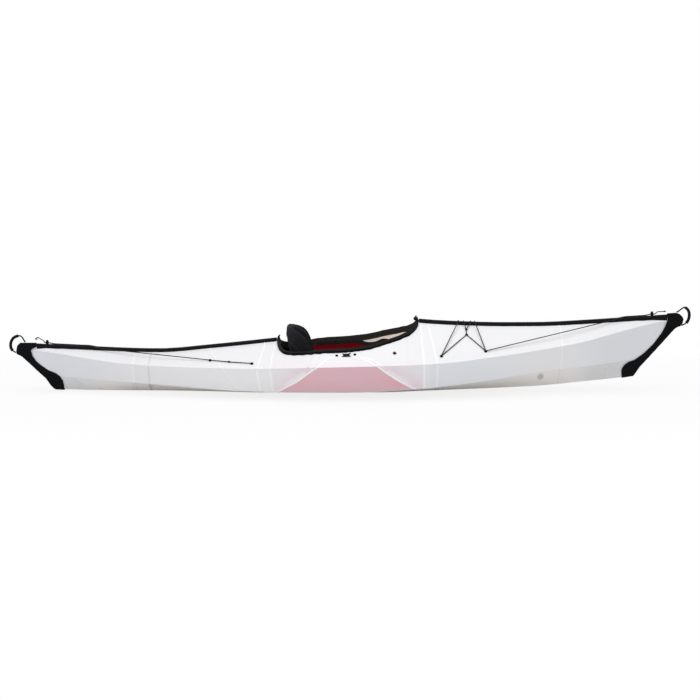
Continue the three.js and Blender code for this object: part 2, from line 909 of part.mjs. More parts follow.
// Wavy outline of a clip: share of its length and of its width
const clipShares = [
  [-0.5, -0.5], [0.5, -0.5], [0.38, -0.2], [0.32, 0], [0.38, 0.25], [0.5, 0.5],
  [0.15, 0.35], [-0.15, 0.35], [-0.5, 0.5], [-0.38, 0.25], [-0.32, 0], [-0.38, -0.2],
];

function rivetHead(radius, height) {
  return turned(rivetShares, radius, height + baseSink).translate(0, 0, -baseSink);
}

function clipBody() {
  const shape = new THREE.Shape(clipShares.map(([lengthShare, widthShare]) => new THREE.Vector2(
    lengthShare * clipLength,
    widthShare * clipWidth,
  )));
  const geometry = new THREE.ExtrudeGeometry(shape, { depth: baseSink + clipHeight, bevelEnabled: false });
  return geometry.translate(0, 0, -baseSink);
}

// Seat

const seatSetback = 147.3;
const seatAft = cockpitAft + seatSetback;
const seatLength = 318;
const seatHalfWidth = 142;
const seatBaseTop = 46;
const padRise = 34;
const padLength = 308;
const padHalfWidth = 150;
const padCornerPower = 5;
const padSidePower = 0.5;
const padCrownPower = 0.6;
const padEdgeShare = 0.25;
const padEndShare = 0.02;
const padRings = 22;
const padSides = 14;
const padChannelShares = [-0.5, 0, 0.5];
const padChannelWidthShare = 0.07;
const padChannelDepthShare = 0.22;

function seatBase() {
  const x = seatAft + seatLength / 2;
  const block = box(seatLength, 2 * seatHalfWidth, 2 * seatBaseTop, x, 0, 0);
  const floorTop = 2 * sheetThickness + liningGap + touchGap;
  return hullBlank(floorTop, false).intersect(block);
}

// Height of a sewn cushion as a share of its full rise, lower along each sewn channel
function channelShare(place) {
  const near = Math.min(...padChannelShares.map((c) => Math.abs(place - c)));
  return 1 - padChannelDepthShare * Math.exp(-((near / padChannelWidthShare) ** 2));
}

// Cushion lofted from end to end: full corners in plan, a crowned top and a flat underside
function seatPad() {
  const rings = [];
  const middle = seatAft + seatLength - padLength / 2;
  const bottom = seatBaseTop + touchGap;
  for (let r = 0; r <= padRings; r++) {
    const place = -Math.cos((r / padRings) * Math.PI);
    const end = Math.max(1 - Math.abs(place) ** padCornerPower, padEndShare) ** (1 / padCornerPower);
    const ring = [];
    for (let k = 0; k < padSides; k++) {
      const turn = ((k + 0.5) / padSides) * Math.PI * 2;
      const across = Math.sign(Math.cos(turn)) * Math.abs(Math.cos(turn)) ** padSidePower;
      const crown = Math.max(Math.sin(turn), 0) ** padCrownPower * end * channelShare(place);
      const rise = padRise * THREE.MathUtils.lerp(padEdgeShare, 1, crown);
      ring.push(new THREE.Vector3(
        middle + (place * padLength) / 2,
        across * padHalfWidth * end,
        turn < Math.PI ? bottom + rise : bottom,
      ));
    }
    rings.push(ring);
  }
  return loft(rings);
}

// Backrest, which wraps round and leans aft

const hingeStrapThickness = 3;
const hingeHeight = 82;
const hingePlace = [seatAft - touchGap - hingeStrapThickness / 2, hingeHeight];
const rollRadius = 2.5;
const backTurn = (72 * Math.PI) / 180;
const backLean = 80;
const backHalfThickness = 14;
const backClearance = 30;
const backRadius = cockpitWidth / 2 - rimWidth - backHalfThickness - backClearance;
const backEdgeThickness = 3;
const backBottom = hingePlace[1] + rollRadius + touchGap;
const backTop = 378;
const wingTopDrop = 48;
const wingEndDrop = 60;
const wingBottomRise = 96;
const wingTopPower = 1.8;
const wingBottomPower = 1.5;
const wingEndPower = 8;
const backEdgePower = 4;
const backSteps = 22;
const backRows = 8;

// One point of the backrest: u runs from wing to wing, v from bottom to top, and side is front or back
function backrestPoint(u, v, side) {
  const turn = backTurn * u;
  const round = Math.sqrt(1 - Math.abs(u) ** wingEndPower);
  const top = backTop - wingTopDrop * Math.abs(u) ** wingTopPower - wingEndDrop * (1 - round);
  const bottom = backBottom + wingBottomRise * Math.abs(u) ** wingBottomPower;
  const height = THREE.MathUtils.lerp(bottom, top, (v + 1) / 2);
  const bulge = round * Math.sqrt(1 - Math.abs(v) ** backEdgePower) * channelShare(v);
  const radius = backRadius + side * THREE.MathUtils.lerp(backEdgeThickness, backHalfThickness, bulge);
  const below = 1 - (height - backBottom) / (backTop - backBottom);
  const lean = backLean * (1 - below ** 2);
  return new THREE.Vector3(
    hingePlace[0] + backRadius - radius * Math.cos(turn) - lean,
    radius * Math.sin(turn),
    height,
  );
}

function backrestPad() {
  const even = (count) => Array.from({ length: count + 1 }, (_, i) => -Math.cos((i / count) * Math.PI));
  return loft(even(backSteps).map((u) => [
    ...even(backRows).map((v) => backrestPoint(u, v, -1)),
    ...even(backRows).reverse().map((v) => backrestPoint(u, v, 1)),
  ]));
}

const hingeStrapWidth = 180;
const hingeStrapBottom = 24;

function seatHingeStrap() {
  const height = hingePlace[1] - hingeStrapBottom;
  const strip = box(
    hingeStrapThickness,
    hingeStrapWidth,
    height,
    hingePlace[0],
    0,
    hingePlace[1] - height / 2,
  );
  const roll = crossTube(rollRadius, hingeStrapWidth, hingePlace[0], hingePlace[1]);
  return strip.add(toSolid(roll));
}

// Footrest: a foam-sleeved bar on two buckles that slide along straps rising toward the bow

const footStrapStart = 60;
const footStrapHeight = 38;
const footStrapRise = 0.08;
const footStrapSpacing = 220;
const footStrapWidth = 25;
const footStrapThickness = 2;
const barShare = 0.6835;
const barLength = 300;
const barRadius = 11;
const barWall = 2;
const sleeveRadius = 19;
const sleeveLength = 184;
const buckleLength = 34;
const buckleWidth = 32;
const buckleBase = 4;
const buckleTop = 28;
const barAboveStrap = 14;
const crossTubeSides = 16;

const footTilt = Math.atan(footStrapRise);

function inFootFrame(geometry) {
  geometry.rotateY(-footTilt);
  geometry.translate(footStrapStart, 0, footStrapHeight);
  return toSolid(geometry);
}

function crossTube(radius, length, x, z) {
  const geometry = new THREE.CylinderGeometry(radius, radius, length, crossTubeSides);
  return geometry.translate(x, 0, z);
}

const bulkheadReach = frontBulkheadShare * halfLength - footStrapStart;
const barAlong = (barShare * bulkheadReach) / Math.cos(footTilt);

function footStrap(side) {
  const reach = bulkheadReach - sheetThickness / 2 - 2 * touchGap;
  const length = reach / Math.cos(footTilt);
  const strap = new THREE.BoxGeometry(length, footStrapWidth, footStrapThickness);
  strap.translate(length / 2 + touchGap, (side * footStrapSpacing) / 2, 0);
  return inFootFrame(strap);
}

function footBuckle(side) {
  const y = (side * footStrapSpacing) / 2;
  const height = buckleBase + buckleTop;
  const body = new THREE.BoxGeometry(buckleLength, buckleWidth, height);
  body.translate(barAlong, y, height / 2 - buckleBase);
  const slot = new THREE.BoxGeometry(
    buckleLength * 2,
    footStrapWidth + 2 * touchGap,
    footStrapThickness + 2 * touchGap,
  );
  slot.translate(barAlong, y, 0);
  const bore = crossTube(barRadius + touchGap, beam, barAlong, barAboveStrap);
  return inFootFrame(body).subtract(inFootFrame(slot)).subtract(inFootFrame(bore));
}

function footBar() {
  const outside = inFootFrame(crossTube(barRadius, barLength, barAlong, barAboveStrap));
  const inside = inFootFrame(crossTube(barRadius - barWall, beam, barAlong, barAboveStrap));
  return outside.subtract(inside);
}

function footSleeve() {
  const outside = inFootFrame(crossTube(sleeveRadius, sleeveLength, barAlong, barAboveStrap));
  const inside = inFootFrame(crossTube(barRadius + touchGap, beam, barAlong, barAboveStrap));
  return outside.subtract(inside);
}

// Carry loops: a cord from the top of the hood to its nose, through a thick grip

const loopCordRadius = 4;
const loopKnotRadius = 4.5;
const gripRadius = 8.5;
const loopSteps = 18;
const gripSteps = 11;
const gripSides = 12;
const loopKnotLift = loopKnotRadius + 2 * touchGap;

// Route of each loop between its two knots, and of its grip: share of the half length and of the sheer height
const bowLoopShares = [
  [0.9888, 1.15], [0.9973, 1.1825], [1.0048, 1.1925], [1.0139, 1.155], [1.0177, 1.1],
  [1.0171, 1.045], [1.0139, 1], [1.0086, 0.97], [1.0027, 0.9525],
];
const bowGripShares = [
  [1.0054, 1.1913], [1.0139, 1.155], [1.0177, 1.1], [1.0171, 1.045], [1.0139, 1], [1.0091, 0.9713],
];
const sternLoopShares = [
  [-0.9775, 0.73], [-0.9839, 0.775], [-0.9936, 0.7913], [-1.007, 0.765], [-1.0155, 0.71],
  [-1.0177, 0.655], [-1.0161, 0.6075], [-1.0112, 0.5775],
];
const sternGripShares = [
  [-0.9941, 0.791], [-1.007, 0.765], [-1.0155, 0.71], [-1.0177, 0.655], [-1.0161, 0.6075], [-1.0118, 0.58],
];

// Straight run of the hood's outline that each knot stands on, and the share of it where the knot is
const bowTopKnot = { runShares: [[0.952, 1.11], [0.98, 1.11]], placeShare: 0.97, outward: 1 };
const bowNoseKnot = { runShares: [[0.997, 0.97], [0.99, 0.93]], placeShare: 0.6, outward: 1 };
const sternTopKnot = { runShares: [[-0.9405, 0.685], [-0.99, 0.685]], placeShare: 0.67, outward: -1 };
const sternNoseKnot = { runShares: [[-1, 0.58], [-0.9985, 0.535]], placeShare: 0.6, outward: -1 };

function sidePoint([lengthShare, heightShare]) {
  return new THREE.Vector3(lengthShare * halfLength, 0, heightShare * sheerHeight);
}

function knotPoint({ runShares, placeShare, outward }) {
  const [start, end] = runShares.map(sidePoint);
  const along = end.clone().sub(start).normalize();
  const off = new THREE.Vector3(-along.z, 0, along.x).multiplyScalar(outward * loopKnotLift);
  return start.lerp(end, placeShare).add(off);
}

function loopPath(shares, topKnot, noseKnot) {
  return [knotPoint(topKnot), ...shares.map(sidePoint), knotPoint(noseKnot)];
}

const bowLoop = loopPath(bowLoopShares, bowTopKnot, bowNoseKnot);
const sternLoop = loopPath(sternLoopShares, sternTopKnot, sternNoseKnot);

function loopCord(path) {
  return tube(path, loopCordRadius, loopSteps)
    .add(ball(loopKnotRadius, path[0]))
    .add(ball(loopKnotRadius, path.at(-1)));
}

function loopGrip(gripShares, path) {
  return tube(gripShares.map(sidePoint), gripRadius, gripSteps, gripSides)
    .subtract(tube(path, loopCordRadius + touchGap, loopSteps));
}

// Deck cords, held by anchors at the deck edges and drawn tight at a lock near each end

const cordRadius = 2.5;
const cordGap = 0.9;
const cordLift = cordRadius + cordGap;
const anchorRadius = 9;
const anchorHeight = 10;
const anchorCordHeight = 5;
const knotRadius = 5;
const tailKnotRadius = 6.5;
const lockRadius = 9;
const lockHeight = 16;
const lockLead = 36;
const lockExit = 13;
const cordPairHalf = 3.2;
const lockCordHeight = 6.5;
const buttonRadius = 6.5;
const buttonRise = 6;
const buttonTravel = 4.5;
const buttonGap = 0.3;
const buttonInsert = 2;

// Places on the deck: share of the half length and of the half beam
const frontAnchorShares = [[0.2705, 0.74], [0.4025, 0.6]];
const rearAnchorShares = [[-0.2871, 0.7365], [-0.4124, 0.5238]];
const frontKnotShares = [0.3487, 0.2476];
const linkKnotShares = [0.3487, 0.1333];
const rearKnotShares = [-0.3557, 0.6317];
const frontCrossShares = [0.3267, 0.3749];
const linkCrossShares = [0.3417, 0.3637];
const frontLockShare = 0.9057;
const rearLockShare = -0.9073;

function deckPlace([lengthShare, beamShare]) {
  return [lengthShare * halfLength, beamShare * halfBeam];
}

const frontAnchorPlaces = frontAnchorShares.map(deckPlace);
const rearAnchorPlaces = rearAnchorShares.map(deckPlace);
const frontKnotPlace = deckPlace(frontKnotShares);
const linkKnotPlace = deckPlace(linkKnotShares);
const rearKnotPlace = deckPlace(rearKnotShares);
const frontLockPlace = frontLockShare * halfLength;
const rearLockPlace = rearLockShare * halfLength;

// Share of the way from the outer anchor to the lock where a cord reaches the channel
const frontMeetShare = 0.77;
const rearMeetShare = 0.67;
const lockRunSteps = 6;
const channelClimbStep = 36;

function channelTop(x) {
  return seamHeight(x) + channelHeight;
}

function anchorPoint([x, y], side) {
  return aboveDeck(x, y * side, anchorCordHeight + touchGap);
}

function deckPoint([x, y], side) {
  return aboveDeck(x, y * side, cordLift);
}

// Points that carry a cord over the channel from starboard to port
const channelCorner = Math.tan(Math.PI / 8);
const cornerSide = channelHalfWidth - channelRounding + cordLift * channelCorner;
function overChannel(x) {
  return [-cornerSide, cornerSide].map((y) => new THREE.Vector3(x, y, channelTop(x) + cordLift));
}

function crossCord(place, x, radius) {
  return steppedTube([anchorPoint(place, -1), ...overChannel(x), anchorPoint(place, 1)], radius);
}

function edgeCord(inner, knotPlace, outer, side, radius) {
  const points = [anchorPoint(inner, side), deckPoint(knotPlace, side), anchorPoint(outer, side)];
  return steppedTube(points, radius);
}

// Cord from a deck anchor along the deck, up onto the channel and into the lock
function lockRun(place, side, lockPlace, meetShare, radius) {
  const direction = Math.sign(lockPlace);
  const meetX = THREE.MathUtils.lerp(place[0], lockPlace, meetShare);
  const channelSide = channelHalfWidth + cordLift;
  const start = anchorPoint(place, side);
  const end = new THREE.Vector3(meetX, channelSide * side, channelTop(meetX) - channelHeight / 2);
  const points = [start];
  for (let i = 1; i < lockRunSteps; i++) {
    const taut = start.clone().lerp(end, i / lockRunSteps);
    const rest = aboveDeck(taut.x, taut.y, cordLift);
    points.push(taut.z > rest.z ? taut : rest);
  }
  const along = (x, y, z) => points.push(new THREE.Vector3(x, y * side, z));
  const climb = [1, 2, 3].map((step) => meetX + step * direction * channelClimbStep);
  points.push(end);
  along(climb[0], channelSide, channelTop(climb[0]) - channelRounding + cordLift * channelCorner);
  along(climb[1], cornerSide, channelTop(climb[1]) + cordLift);
  along(climb[2], cordPairHalf, channelTop(climb[2]) + cordLift);
  const nearLock = lockPlace - direction * lockLead;
  along(nearLock, cordPairHalf, channelTop(nearLock) + cordLift);
  along(lockPlace - direction * lockRadius, cordPairHalf, lockBase(lockPlace) + lockCordHeight);
  along(lockPlace + direction * lockExit, cordPairHalf, lockBase(lockPlace) + lockCordHeight);
  return steppedTube(points, radius);
}

// Short tail past the lock, ending in a knot: share of the half length and of the sheer height
const frontTailShares = [[0.9186, 1.1125], [0.9241, 1.132], [0.9335, 1.1325], [0.9438, 1.135]];
const rearTailShares = [[-0.9191, 0.7225], [-0.9282, 0.7475], [-0.9363, 0.7675], [-0.9406, 0.745]];

function tail(tailShares, lockPlace, radius) {
  const direction = Math.sign(lockPlace);
  const path = tailShares.map(sidePoint);
  const start = (side) => new THREE.Vector3(
    lockPlace + direction * lockExit,
    cordPairHalf * side,
    lockBase(lockPlace) + lockCordHeight,
  );
  return unite([
    steppedTube([start(1), ...path], radius),
    steppedTube([start(-1), path[0]], radius),
    ball(tailKnotRadius, path.at(-1)),
  ]);
}

function frontCord(radius) {
  const [inner, outer] = frontAnchorPlaces;
  const sides = [-1, 1].map((side) => unite([
    edgeCord(inner, frontKnotPlace, outer, side, radius),
    steppedTube([deckPoint(frontKnotPlace, side), deckPoint(linkKnotPlace, side)], radius),
    ball(knotRadius, aboveDeck(frontKnotPlace[0], frontKnotPlace[1] * side, knotRadius + touchGap)),
    ball(knotRadius, aboveDeck(linkKnotPlace[0], linkKnotPlace[1] * side, knotRadius + touchGap)),
    lockRun(outer, side, frontLockPlace, frontMeetShare, radius),
  ]));
  const links = linkCrossShares.map((share) => steppedTube(
    [deckPoint(linkKnotPlace, -1), ...overChannel(share * halfLength), deckPoint(linkKnotPlace, 1)],
    radius,
  ));
  return unite([
    ...sides,
    ...links,
    crossCord(inner, frontCrossShares[0] * halfLength, radius),
    crossCord(outer, frontCrossShares[1] * halfLength, radius),
    tail(frontTailShares, frontLockPlace, radius),
  ]);
}

function rearCord(radius) {
  const [inner, outer] = rearAnchorPlaces;
  const sides = [-1, 1].map((side) => unite([
    edgeCord(inner, rearKnotPlace, outer, side, radius),
    lockRun(outer, side, rearLockPlace, rearMeetShare, radius),
  ]));
  return unite([...sides, tail(rearTailShares, rearLockPlace, radius)]);
}

const anchorShares = [[0, 0], [1, 0], [1, 0.4], [0.8, 0.77], [0.45, 1], [0, 1]];

function anchor([x, y], side, cordSpace) {
  const dome = turned(anchorShares, anchorRadius, anchorHeight + baseSink).translate(0, 0, -baseSink);
  return onDeck(dome, x, y * side).subtract(cordSpace);
}

// Barrel lock: a cup with a cross hole for the cord pair, and a sprung button in its mouth
const barrelShares = [[0, 0], [0.75, 0], [1, 0.2], [1, 0.8], [0.9, 1], [0, 1]];
const buttonShares = [[0, 0], [1, 0], [1, 0.8], [0.8, 1], [0, 1]];
const plugShares = [[0, 0], [1, 0], [1, 1], [0, 1]];

function lockBase(x) {
  return Math.max(channelTop(x - lockRadius), channelTop(x + lockRadius)) + touchGap;
}

function lockBarrel(x, cordSpace) {
  const depth = buttonTravel + buttonInsert;
  const barrel = turned(barrelShares, lockRadius, lockHeight).translate(x, 0, lockBase(x));
  const mouth = turned(plugShares, buttonRadius + buttonGap, 2 * depth);
  mouth.translate(x, 0, lockBase(x) + lockHeight - depth);
  return toSolid(barrel).subtract(toSolid(mouth)).subtract(cordSpace);
}

function lockButton(x) {
  const button = turned(buttonShares, buttonRadius, buttonInsert + buttonRise);
  return toSolid(button.translate(x, 0, lockBase(x) + lockHeight - buttonInsert));
}

// Assembly

const kayak = new THREE.Group();
kayak.name = 'folding_kayak';
const sides = [['port', 1], ['starboard', -1]];
const rim = coamingSolid();
const frontCordSpace = frontCord(cordRadius + touchGap);
const rearCordSpace = rearCord(cordRadius + touchGap);

kayak.add(
  part('hull_sheet', foldedSheet().intersect(betweenStems(0)).subtract(cockpitCut()), 'sheet'),
  part('front_deck_channel', deckChannel(frontChannelStart, frontChannelEndShare), 'blackPlastic'),
  part('rear_deck_channel', deckChannel(rearChannelStart, rearChannelEndShare), 'blackPlastic'),
  part('floorboard', floorboardSolid(), 'redSheet'),
  part('front_bulkhead', bulkhead(frontBulkheadShare), 'sheet'),
  part('rear_bulkhead', bulkhead(rearBulkheadShare), 'sheet'),
  part('bow_fairing', fairing(bowFairingShares, bowHoodShares), 'blackPlastic'),
  part('stern_fairing', fairing(sternFairingShares, sternHoodShares), 'blackPlastic'),
  part('coaming', rim, 'blackPlastic'),
  part('coaming_front_buckle', frontBuckle(rim), 'blackPlastic'),
  part('coaming_rear_hook', rearHook(rim), 'blackPlastic'),
  part('coaming_rear_strap', rearStrap(), 'blackFabric'),
  part('coaming_rear_ring', rearRing(), 'blackPlastic'),
  part('seat_base', seatBase(), 'foam'),
  part('seat_pad', seatPad(), 'blackFabric'),
  part('seat_hinge_strap', seatHingeStrap(), 'blackFabric'),
  part('backrest_pad', backrestPad(), 'blackFabric'),
  part('footrest_bar', footBar(), 'aluminium'),
  part('footrest_sleeve', footSleeve(), 'foam'),
  part('bow_loop_cord', loopCord(bowLoop), 'cord'),
  part('bow_grip', loopGrip(bowGripShares, bowLoop), 'blackPlastic'),
  part('stern_loop_cord', loopCord(sternLoop), 'cord'),
  part('stern_grip', loopGrip(sternGripShares, sternLoop), 'blackPlastic'),
  part('front_deck_cord', frontCord(cordRadius), 'cord'),
  part('rear_deck_cord', rearCord(cordRadius), 'cord'),
  part('front_cord_lock', lockBarrel(frontLockPlace, frontCordSpace), 'blackPlastic'),
  part('rear_cord_lock', lockBarrel(rearLockPlace, rearCordSpace), 'blackPlastic'),
  part('front_lock_button', lockButton(frontLockPlace), 'blackPlastic'),
  part('rear_lock_button', lockButton(rearLockPlace), 'blackPlastic'),
);

for (const [sideName, side] of sides) {
  kayak.add(
    part(`side_strap_${sideName}`, sideStrap(side), 'blackFabric'),
    part(`side_strap_buckle_${sideName}`, sideStrapBuckle(side), 'greyPlastic'),
    part(`footrest_strap_${sideName}`, footStrap(side), 'blackFabric'),
    part(`footrest_buckle_${sideName}`, footBuckle(side), 'blackPlastic'),
    part(`side_clip_${sideName}`, onDeck(clipBody(), clipPlace, clipSide * side), 'blackPlastic'),
    part(
      `deck_rivet_${sideName}`,
      onDeck(
        rivetHead(deckRivetRadius, deckRivetHeight),
        deckRivetShares[0] * halfLength,
        deckRivetShares[1] * halfBeam * side,
      ),
      'blackPlastic',
    ),
  );
  clipRivetPlaces.forEach((x, i) => kayak.add(part(
    `clip_rivet_${i + 1}_${sideName}`,
    onDeck(rivetHead(smallRivetRadius, smallRivetHeight), x, clipSide * side),
    'blackPlastic',
  )));
  frontAnchorPlaces.forEach((place, i) => kayak.add(
    part(`front_anchor_${i + 1}_${sideName}`, anchor(place, side, frontCordSpace), 'blackPlastic'),
  ));
  rearAnchorPlaces.forEach((place, i) => kayak.add(
    part(`rear_anchor_${i + 1}_${sideName}`, anchor(place, side, rearCordSpace), 'blackPlastic'),
  ));
}

export default kayak;
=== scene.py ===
# Looks of the folding kayak: finishes for the rigid pieces, sewn cushions, webbing, braided cords,
# whitened creases in the sheet with painted highlights and shade, painted light and shade on the sheet and
# rim, and the studio.
# Metres, in the frame of the CAD model: +X to the bow, +Y to port, +Z up.

import json
from math import atan2, cos, exp, pi, radians, sin, sqrt, tau

import bmesh
import bpy
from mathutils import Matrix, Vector
from mathutils.bvhtree import BVHTree

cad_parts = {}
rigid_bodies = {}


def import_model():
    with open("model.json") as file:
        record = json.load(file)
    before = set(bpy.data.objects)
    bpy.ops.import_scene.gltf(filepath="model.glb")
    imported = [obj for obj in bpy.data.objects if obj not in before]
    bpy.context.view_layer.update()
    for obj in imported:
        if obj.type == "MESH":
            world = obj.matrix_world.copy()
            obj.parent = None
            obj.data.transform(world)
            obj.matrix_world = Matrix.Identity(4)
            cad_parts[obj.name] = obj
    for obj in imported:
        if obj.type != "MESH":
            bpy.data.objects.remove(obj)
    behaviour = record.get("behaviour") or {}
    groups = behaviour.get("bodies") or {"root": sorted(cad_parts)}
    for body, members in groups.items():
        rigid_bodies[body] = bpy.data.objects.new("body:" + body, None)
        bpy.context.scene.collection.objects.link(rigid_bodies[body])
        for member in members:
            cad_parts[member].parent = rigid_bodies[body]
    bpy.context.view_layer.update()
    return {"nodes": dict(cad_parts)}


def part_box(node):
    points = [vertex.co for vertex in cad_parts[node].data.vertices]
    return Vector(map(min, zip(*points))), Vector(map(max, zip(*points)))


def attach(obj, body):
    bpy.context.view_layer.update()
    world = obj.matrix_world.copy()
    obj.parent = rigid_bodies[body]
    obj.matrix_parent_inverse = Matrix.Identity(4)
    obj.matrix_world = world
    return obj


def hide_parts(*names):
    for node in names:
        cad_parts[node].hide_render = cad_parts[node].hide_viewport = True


for default in list(bpy.data.objects):
    bpy.data.objects.remove(default)

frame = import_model()
nodes = frame["nodes"]
scene = bpy.context.scene

MM = 0.001
SIDES = {"port": 1, "starboard": -1}


def placed(name, data):
    made = bpy.data.objects.new(name, data)
    scene.collection.objects.link(made)
    return made


def assign(target, settings):
    for key, value in settings.items():
        setattr(target, key, value)


# Camera, at the photograph's view

FRAME_WIDTH = 3.927
CAMERA_DISTANCE = 11
CAMERA_ELEVATION = radians(10)
CAMERA_TARGET = Vector((0.003, 0, 0.235))
SENSOR_WIDTH = 36
CLIP_END = 500


def make_camera():
    data = bpy.data.cameras.new("camera")
    data.sensor_width = SENSOR_WIDTH
    data.lens = SENSOR_WIDTH * CAMERA_DISTANCE / FRAME_WIDTH
    data.clip_end = CLIP_END
    camera = placed("camera", data)
    back = Vector((0, -cos(CAMERA_ELEVATION), sin(CAMERA_ELEVATION)))
    camera.location = CAMERA_TARGET + back * CAMERA_DISTANCE
    camera.rotation_euler = (-back).to_track_quat("-Z", "Y").to_euler()
    scene.camera = camera


# Materials

SOCKETS = {
    "metallic": "Metallic",
    "specular": "Specular IOR Level",
    "sheen": "Sheen Weight",
    "sheen_roughness": "Sheen Roughness",
}


def operation(name, swapped=False):
    """A method that adds a Math node for a term and another term or number."""
    return lambda self, other=0.0: self.graph.math(name, *((other, self) if swapped else (self, other)))


class Term:
    """A value in a node graph, reckoned with like a number."""

    __add__ = operation("ADD")
    __sub__ = operation("SUBTRACT")
    __rsub__ = operation("SUBTRACT", swapped=True)
    __mul__ = operation("MULTIPLY")
    __truediv__ = operation("DIVIDE")
    __abs__ = operation("ABSOLUTE")

    def __init__(self, graph, socket):
        self.graph = graph
        self.socket = socket

    def line(self, low, high, to_low=0.0, to_high=1.0, kind="LINEAR"):
        """Straight run from to_low at low to to_high at high, level outside; low may lie above high."""
        ends = {"Value": self, "From Min": low, "From Max": high, "To Min": to_low, "To Max": to_high}
        node = self.graph.add("ShaderNodeMapRange", ends, interpolation_type=kind)
        return Term(self.graph, node.outputs[0])

    def curve(self, low, high, to_low=0.0, to_high=1.0):
        """The same run with smooth ends."""
        return self.line(low, high, to_low, to_high, "SMOOTHSTEP")

    def ripple(self, pitch):
        """Sine of a length, one wave to each pitch, from 0 to 1."""
        return self.graph.math("SINE", self * (tau / pitch)) * 0.5 + 0.5


class Graph:
    """The node graph of a material or a world, added to step by step."""

    def __init__(self, owner):
        self.owner = owner
        owner.use_nodes = True
        self.tree = owner.node_tree

    def add(self, kind, inputs=None, **settings):
        node = self.tree.nodes.new(kind)
        assign(node, settings)
        for key, value in (inputs or {}).items():
            self.put(node.inputs[key], value)
        return node

    def put(self, socket, value):
        if isinstance(value, Term):
            value = value.socket
        if isinstance(value, bpy.types.NodeSocket):
            self.tree.links.new(value, socket)
        else:
            socket.default_value = value

    def math(self, operation, a, b=0.0):
        return Term(self, self.add("ShaderNodeMath", {0: a, 1: b}, operation=operation).outputs[0])

    def axes(self, vector):
        return [Term(self, axis) for axis in self.add("ShaderNodeSeparateXYZ", {0: vector}).outputs]


class Surface(Graph):
    """A Principled material: x, y and z are a point's place, side and up its normal's y and z."""

    def __init__(self, name, colour, roughness, **values):
        super().__init__(bpy.data.materials.new(name))
        self.shader = self.tree.nodes["Principled BSDF"]
        self.shader.inputs["Base Color"].default_value = (*colour, 1)
        self.shader.inputs["Roughness"].default_value = roughness
        for key, value in values.items():
            self.shader.inputs[SOCKETS[key]].default_value = value
        coordinates = self.add("ShaderNodeTexCoord").outputs
        self.place = coordinates["Object"]
        self.x, self.y, self.z = self.axes(self.place)
        _, self.side, self.up = self.axes(coordinates["Normal"])

    def noise(self, scale, detail=2.0, stretch=(1, 1, 1), rough=0.5):
        moved = self.add("ShaderNodeMapping", {"Vector": self.place, "Scale": stretch}).outputs[0]
        inputs = {"Vector": moved, "Scale": scale, "Detail": detail, "Roughness": rough}
        return Term(self, self.add("ShaderNodeTexNoise", inputs).outputs[0])

    def lay(self, name, factor, colour):
        """Mixes a colour over what a socket of the shader shows so far, by a factor from 0 to 1."""
        socket = self.shader.inputs[name]
        below = socket.links[0].from_socket if socket.is_linked else socket.default_value
        mix = self.add("ShaderNodeMix", {0: factor, 6: below, 7: (*colour, 1)}, data_type="RGBA")
        self.put(socket, mix.outputs[2])

    def tint(self, factor, colour, share=1.0):
        """Lays a share of a colour over the base colour."""
        self.lay("Base Color", factor if share == 1.0 else factor * share, colour)

    def rough(self, value, low, high):
        self.put(self.shader.inputs["Roughness"], value.line(0, 1, low, high))

    def bump(self, height, depth, strength=1.0):
        """Adds a bump of a height from 0 to 1 and a depth in metres over the bumps so far."""
        socket = self.shader.inputs["Normal"]
        inputs = {"Height": height, "Distance": depth, "Strength": strength}
        if socket.is_linked:
            inputs["Normal"] = socket.links[0].from_socket
        self.put(socket, self.add("ShaderNodeBump", inputs).outputs[0])


RIB_PITCH = 5 * MM


def fluted(skin):
    """The walls of twin-wall sheet show its ribs as fine lines across the boat."""
    ribs = skin.x.ripple(RIB_PITCH)
    skin.bump(ribs, 0.12 * MM, 0.3)
    skin.bump(skin.noise(9, 3), 1.5 * MM, 0.2)
    return ribs


# The red floor shows through the sheet between two folds: where they stand at the chine and at the
# gunwale, how far they bow toward each other, and the heights of both lines
WING_AFT = (-0.396, -0.172)
WING_FORE = (0.364, 0.152)
WING_BOW = 0.012
WING_HEIGHTS = (0.047, 0.196)
FAINT_AFT = -0.432
FAINT_FORE = 0.412


def wing_masks(skin):
    """Where the red floor shows: strongly between the folds, faintly beside them, and on the deck."""
    x, z, up = skin.x, skin.z, skin.up
    rise = z.line(*WING_HEIGHTS)
    bow = rise * (1.0 - rise) * (4 * WING_BOW)
    from_aft = x - (rise.line(0, 1, *WING_AFT) + bow)
    from_fore = rise.line(0, 1, *WING_FORE) - bow - x
    flank = up.curve(0.3, 0.1) * z.curve(0.222, 0.207)
    strong = from_aft.curve(0, 5 * MM) * from_fore.curve(0, 5 * MM) * flank
    reach = x.curve(FAINT_AFT, FAINT_AFT + 0.02) * x.curve(FAINT_FORE, FAINT_FORE - 0.02)
    nearest = skin.math("MINIMUM", from_aft, from_fore)
    faint = reach * flank * z.curve(0.02, 0.05) * nearest.curve(-0.22, -0.02, 0.2, 0.9)
    corner = nearest.curve(0.12, 0.02) * z.curve(0.16, 0.08)
    deck = reach * up.curve(0.3, 0.5) * z.curve(0.232, 0.205)
    return strong, faint, corner, deck


# Painted shadows, as grey spots, of what lies behind the starboard sheet: x, z, length, height, strength
PAINTED_SHADOW_SPOTS = [
    (1.066, 0.098, 0.019, 0.024, 0.85),
    (0.520, 0.050, 0.014, 0.009, 0.8),
    (-1.105, 0.050, 0.020, 0.012, 0.55),
]


def painted_shadow_spots(skin):
    near_side = skin.y.curve(0, -0.01)
    for at_x, at_z, length, height, strength in PAINTED_SHADOW_SPOTS:
        along = (skin.x - at_x) / length
        above = (skin.z - at_z) / height
        spot = (along * along + above * above).curve(1.3, 0.3) * near_side
        # Painted shadow: a grey spot on the sheet
        skin.tint(spot, (0.42, 0.41, 0.41), strength)
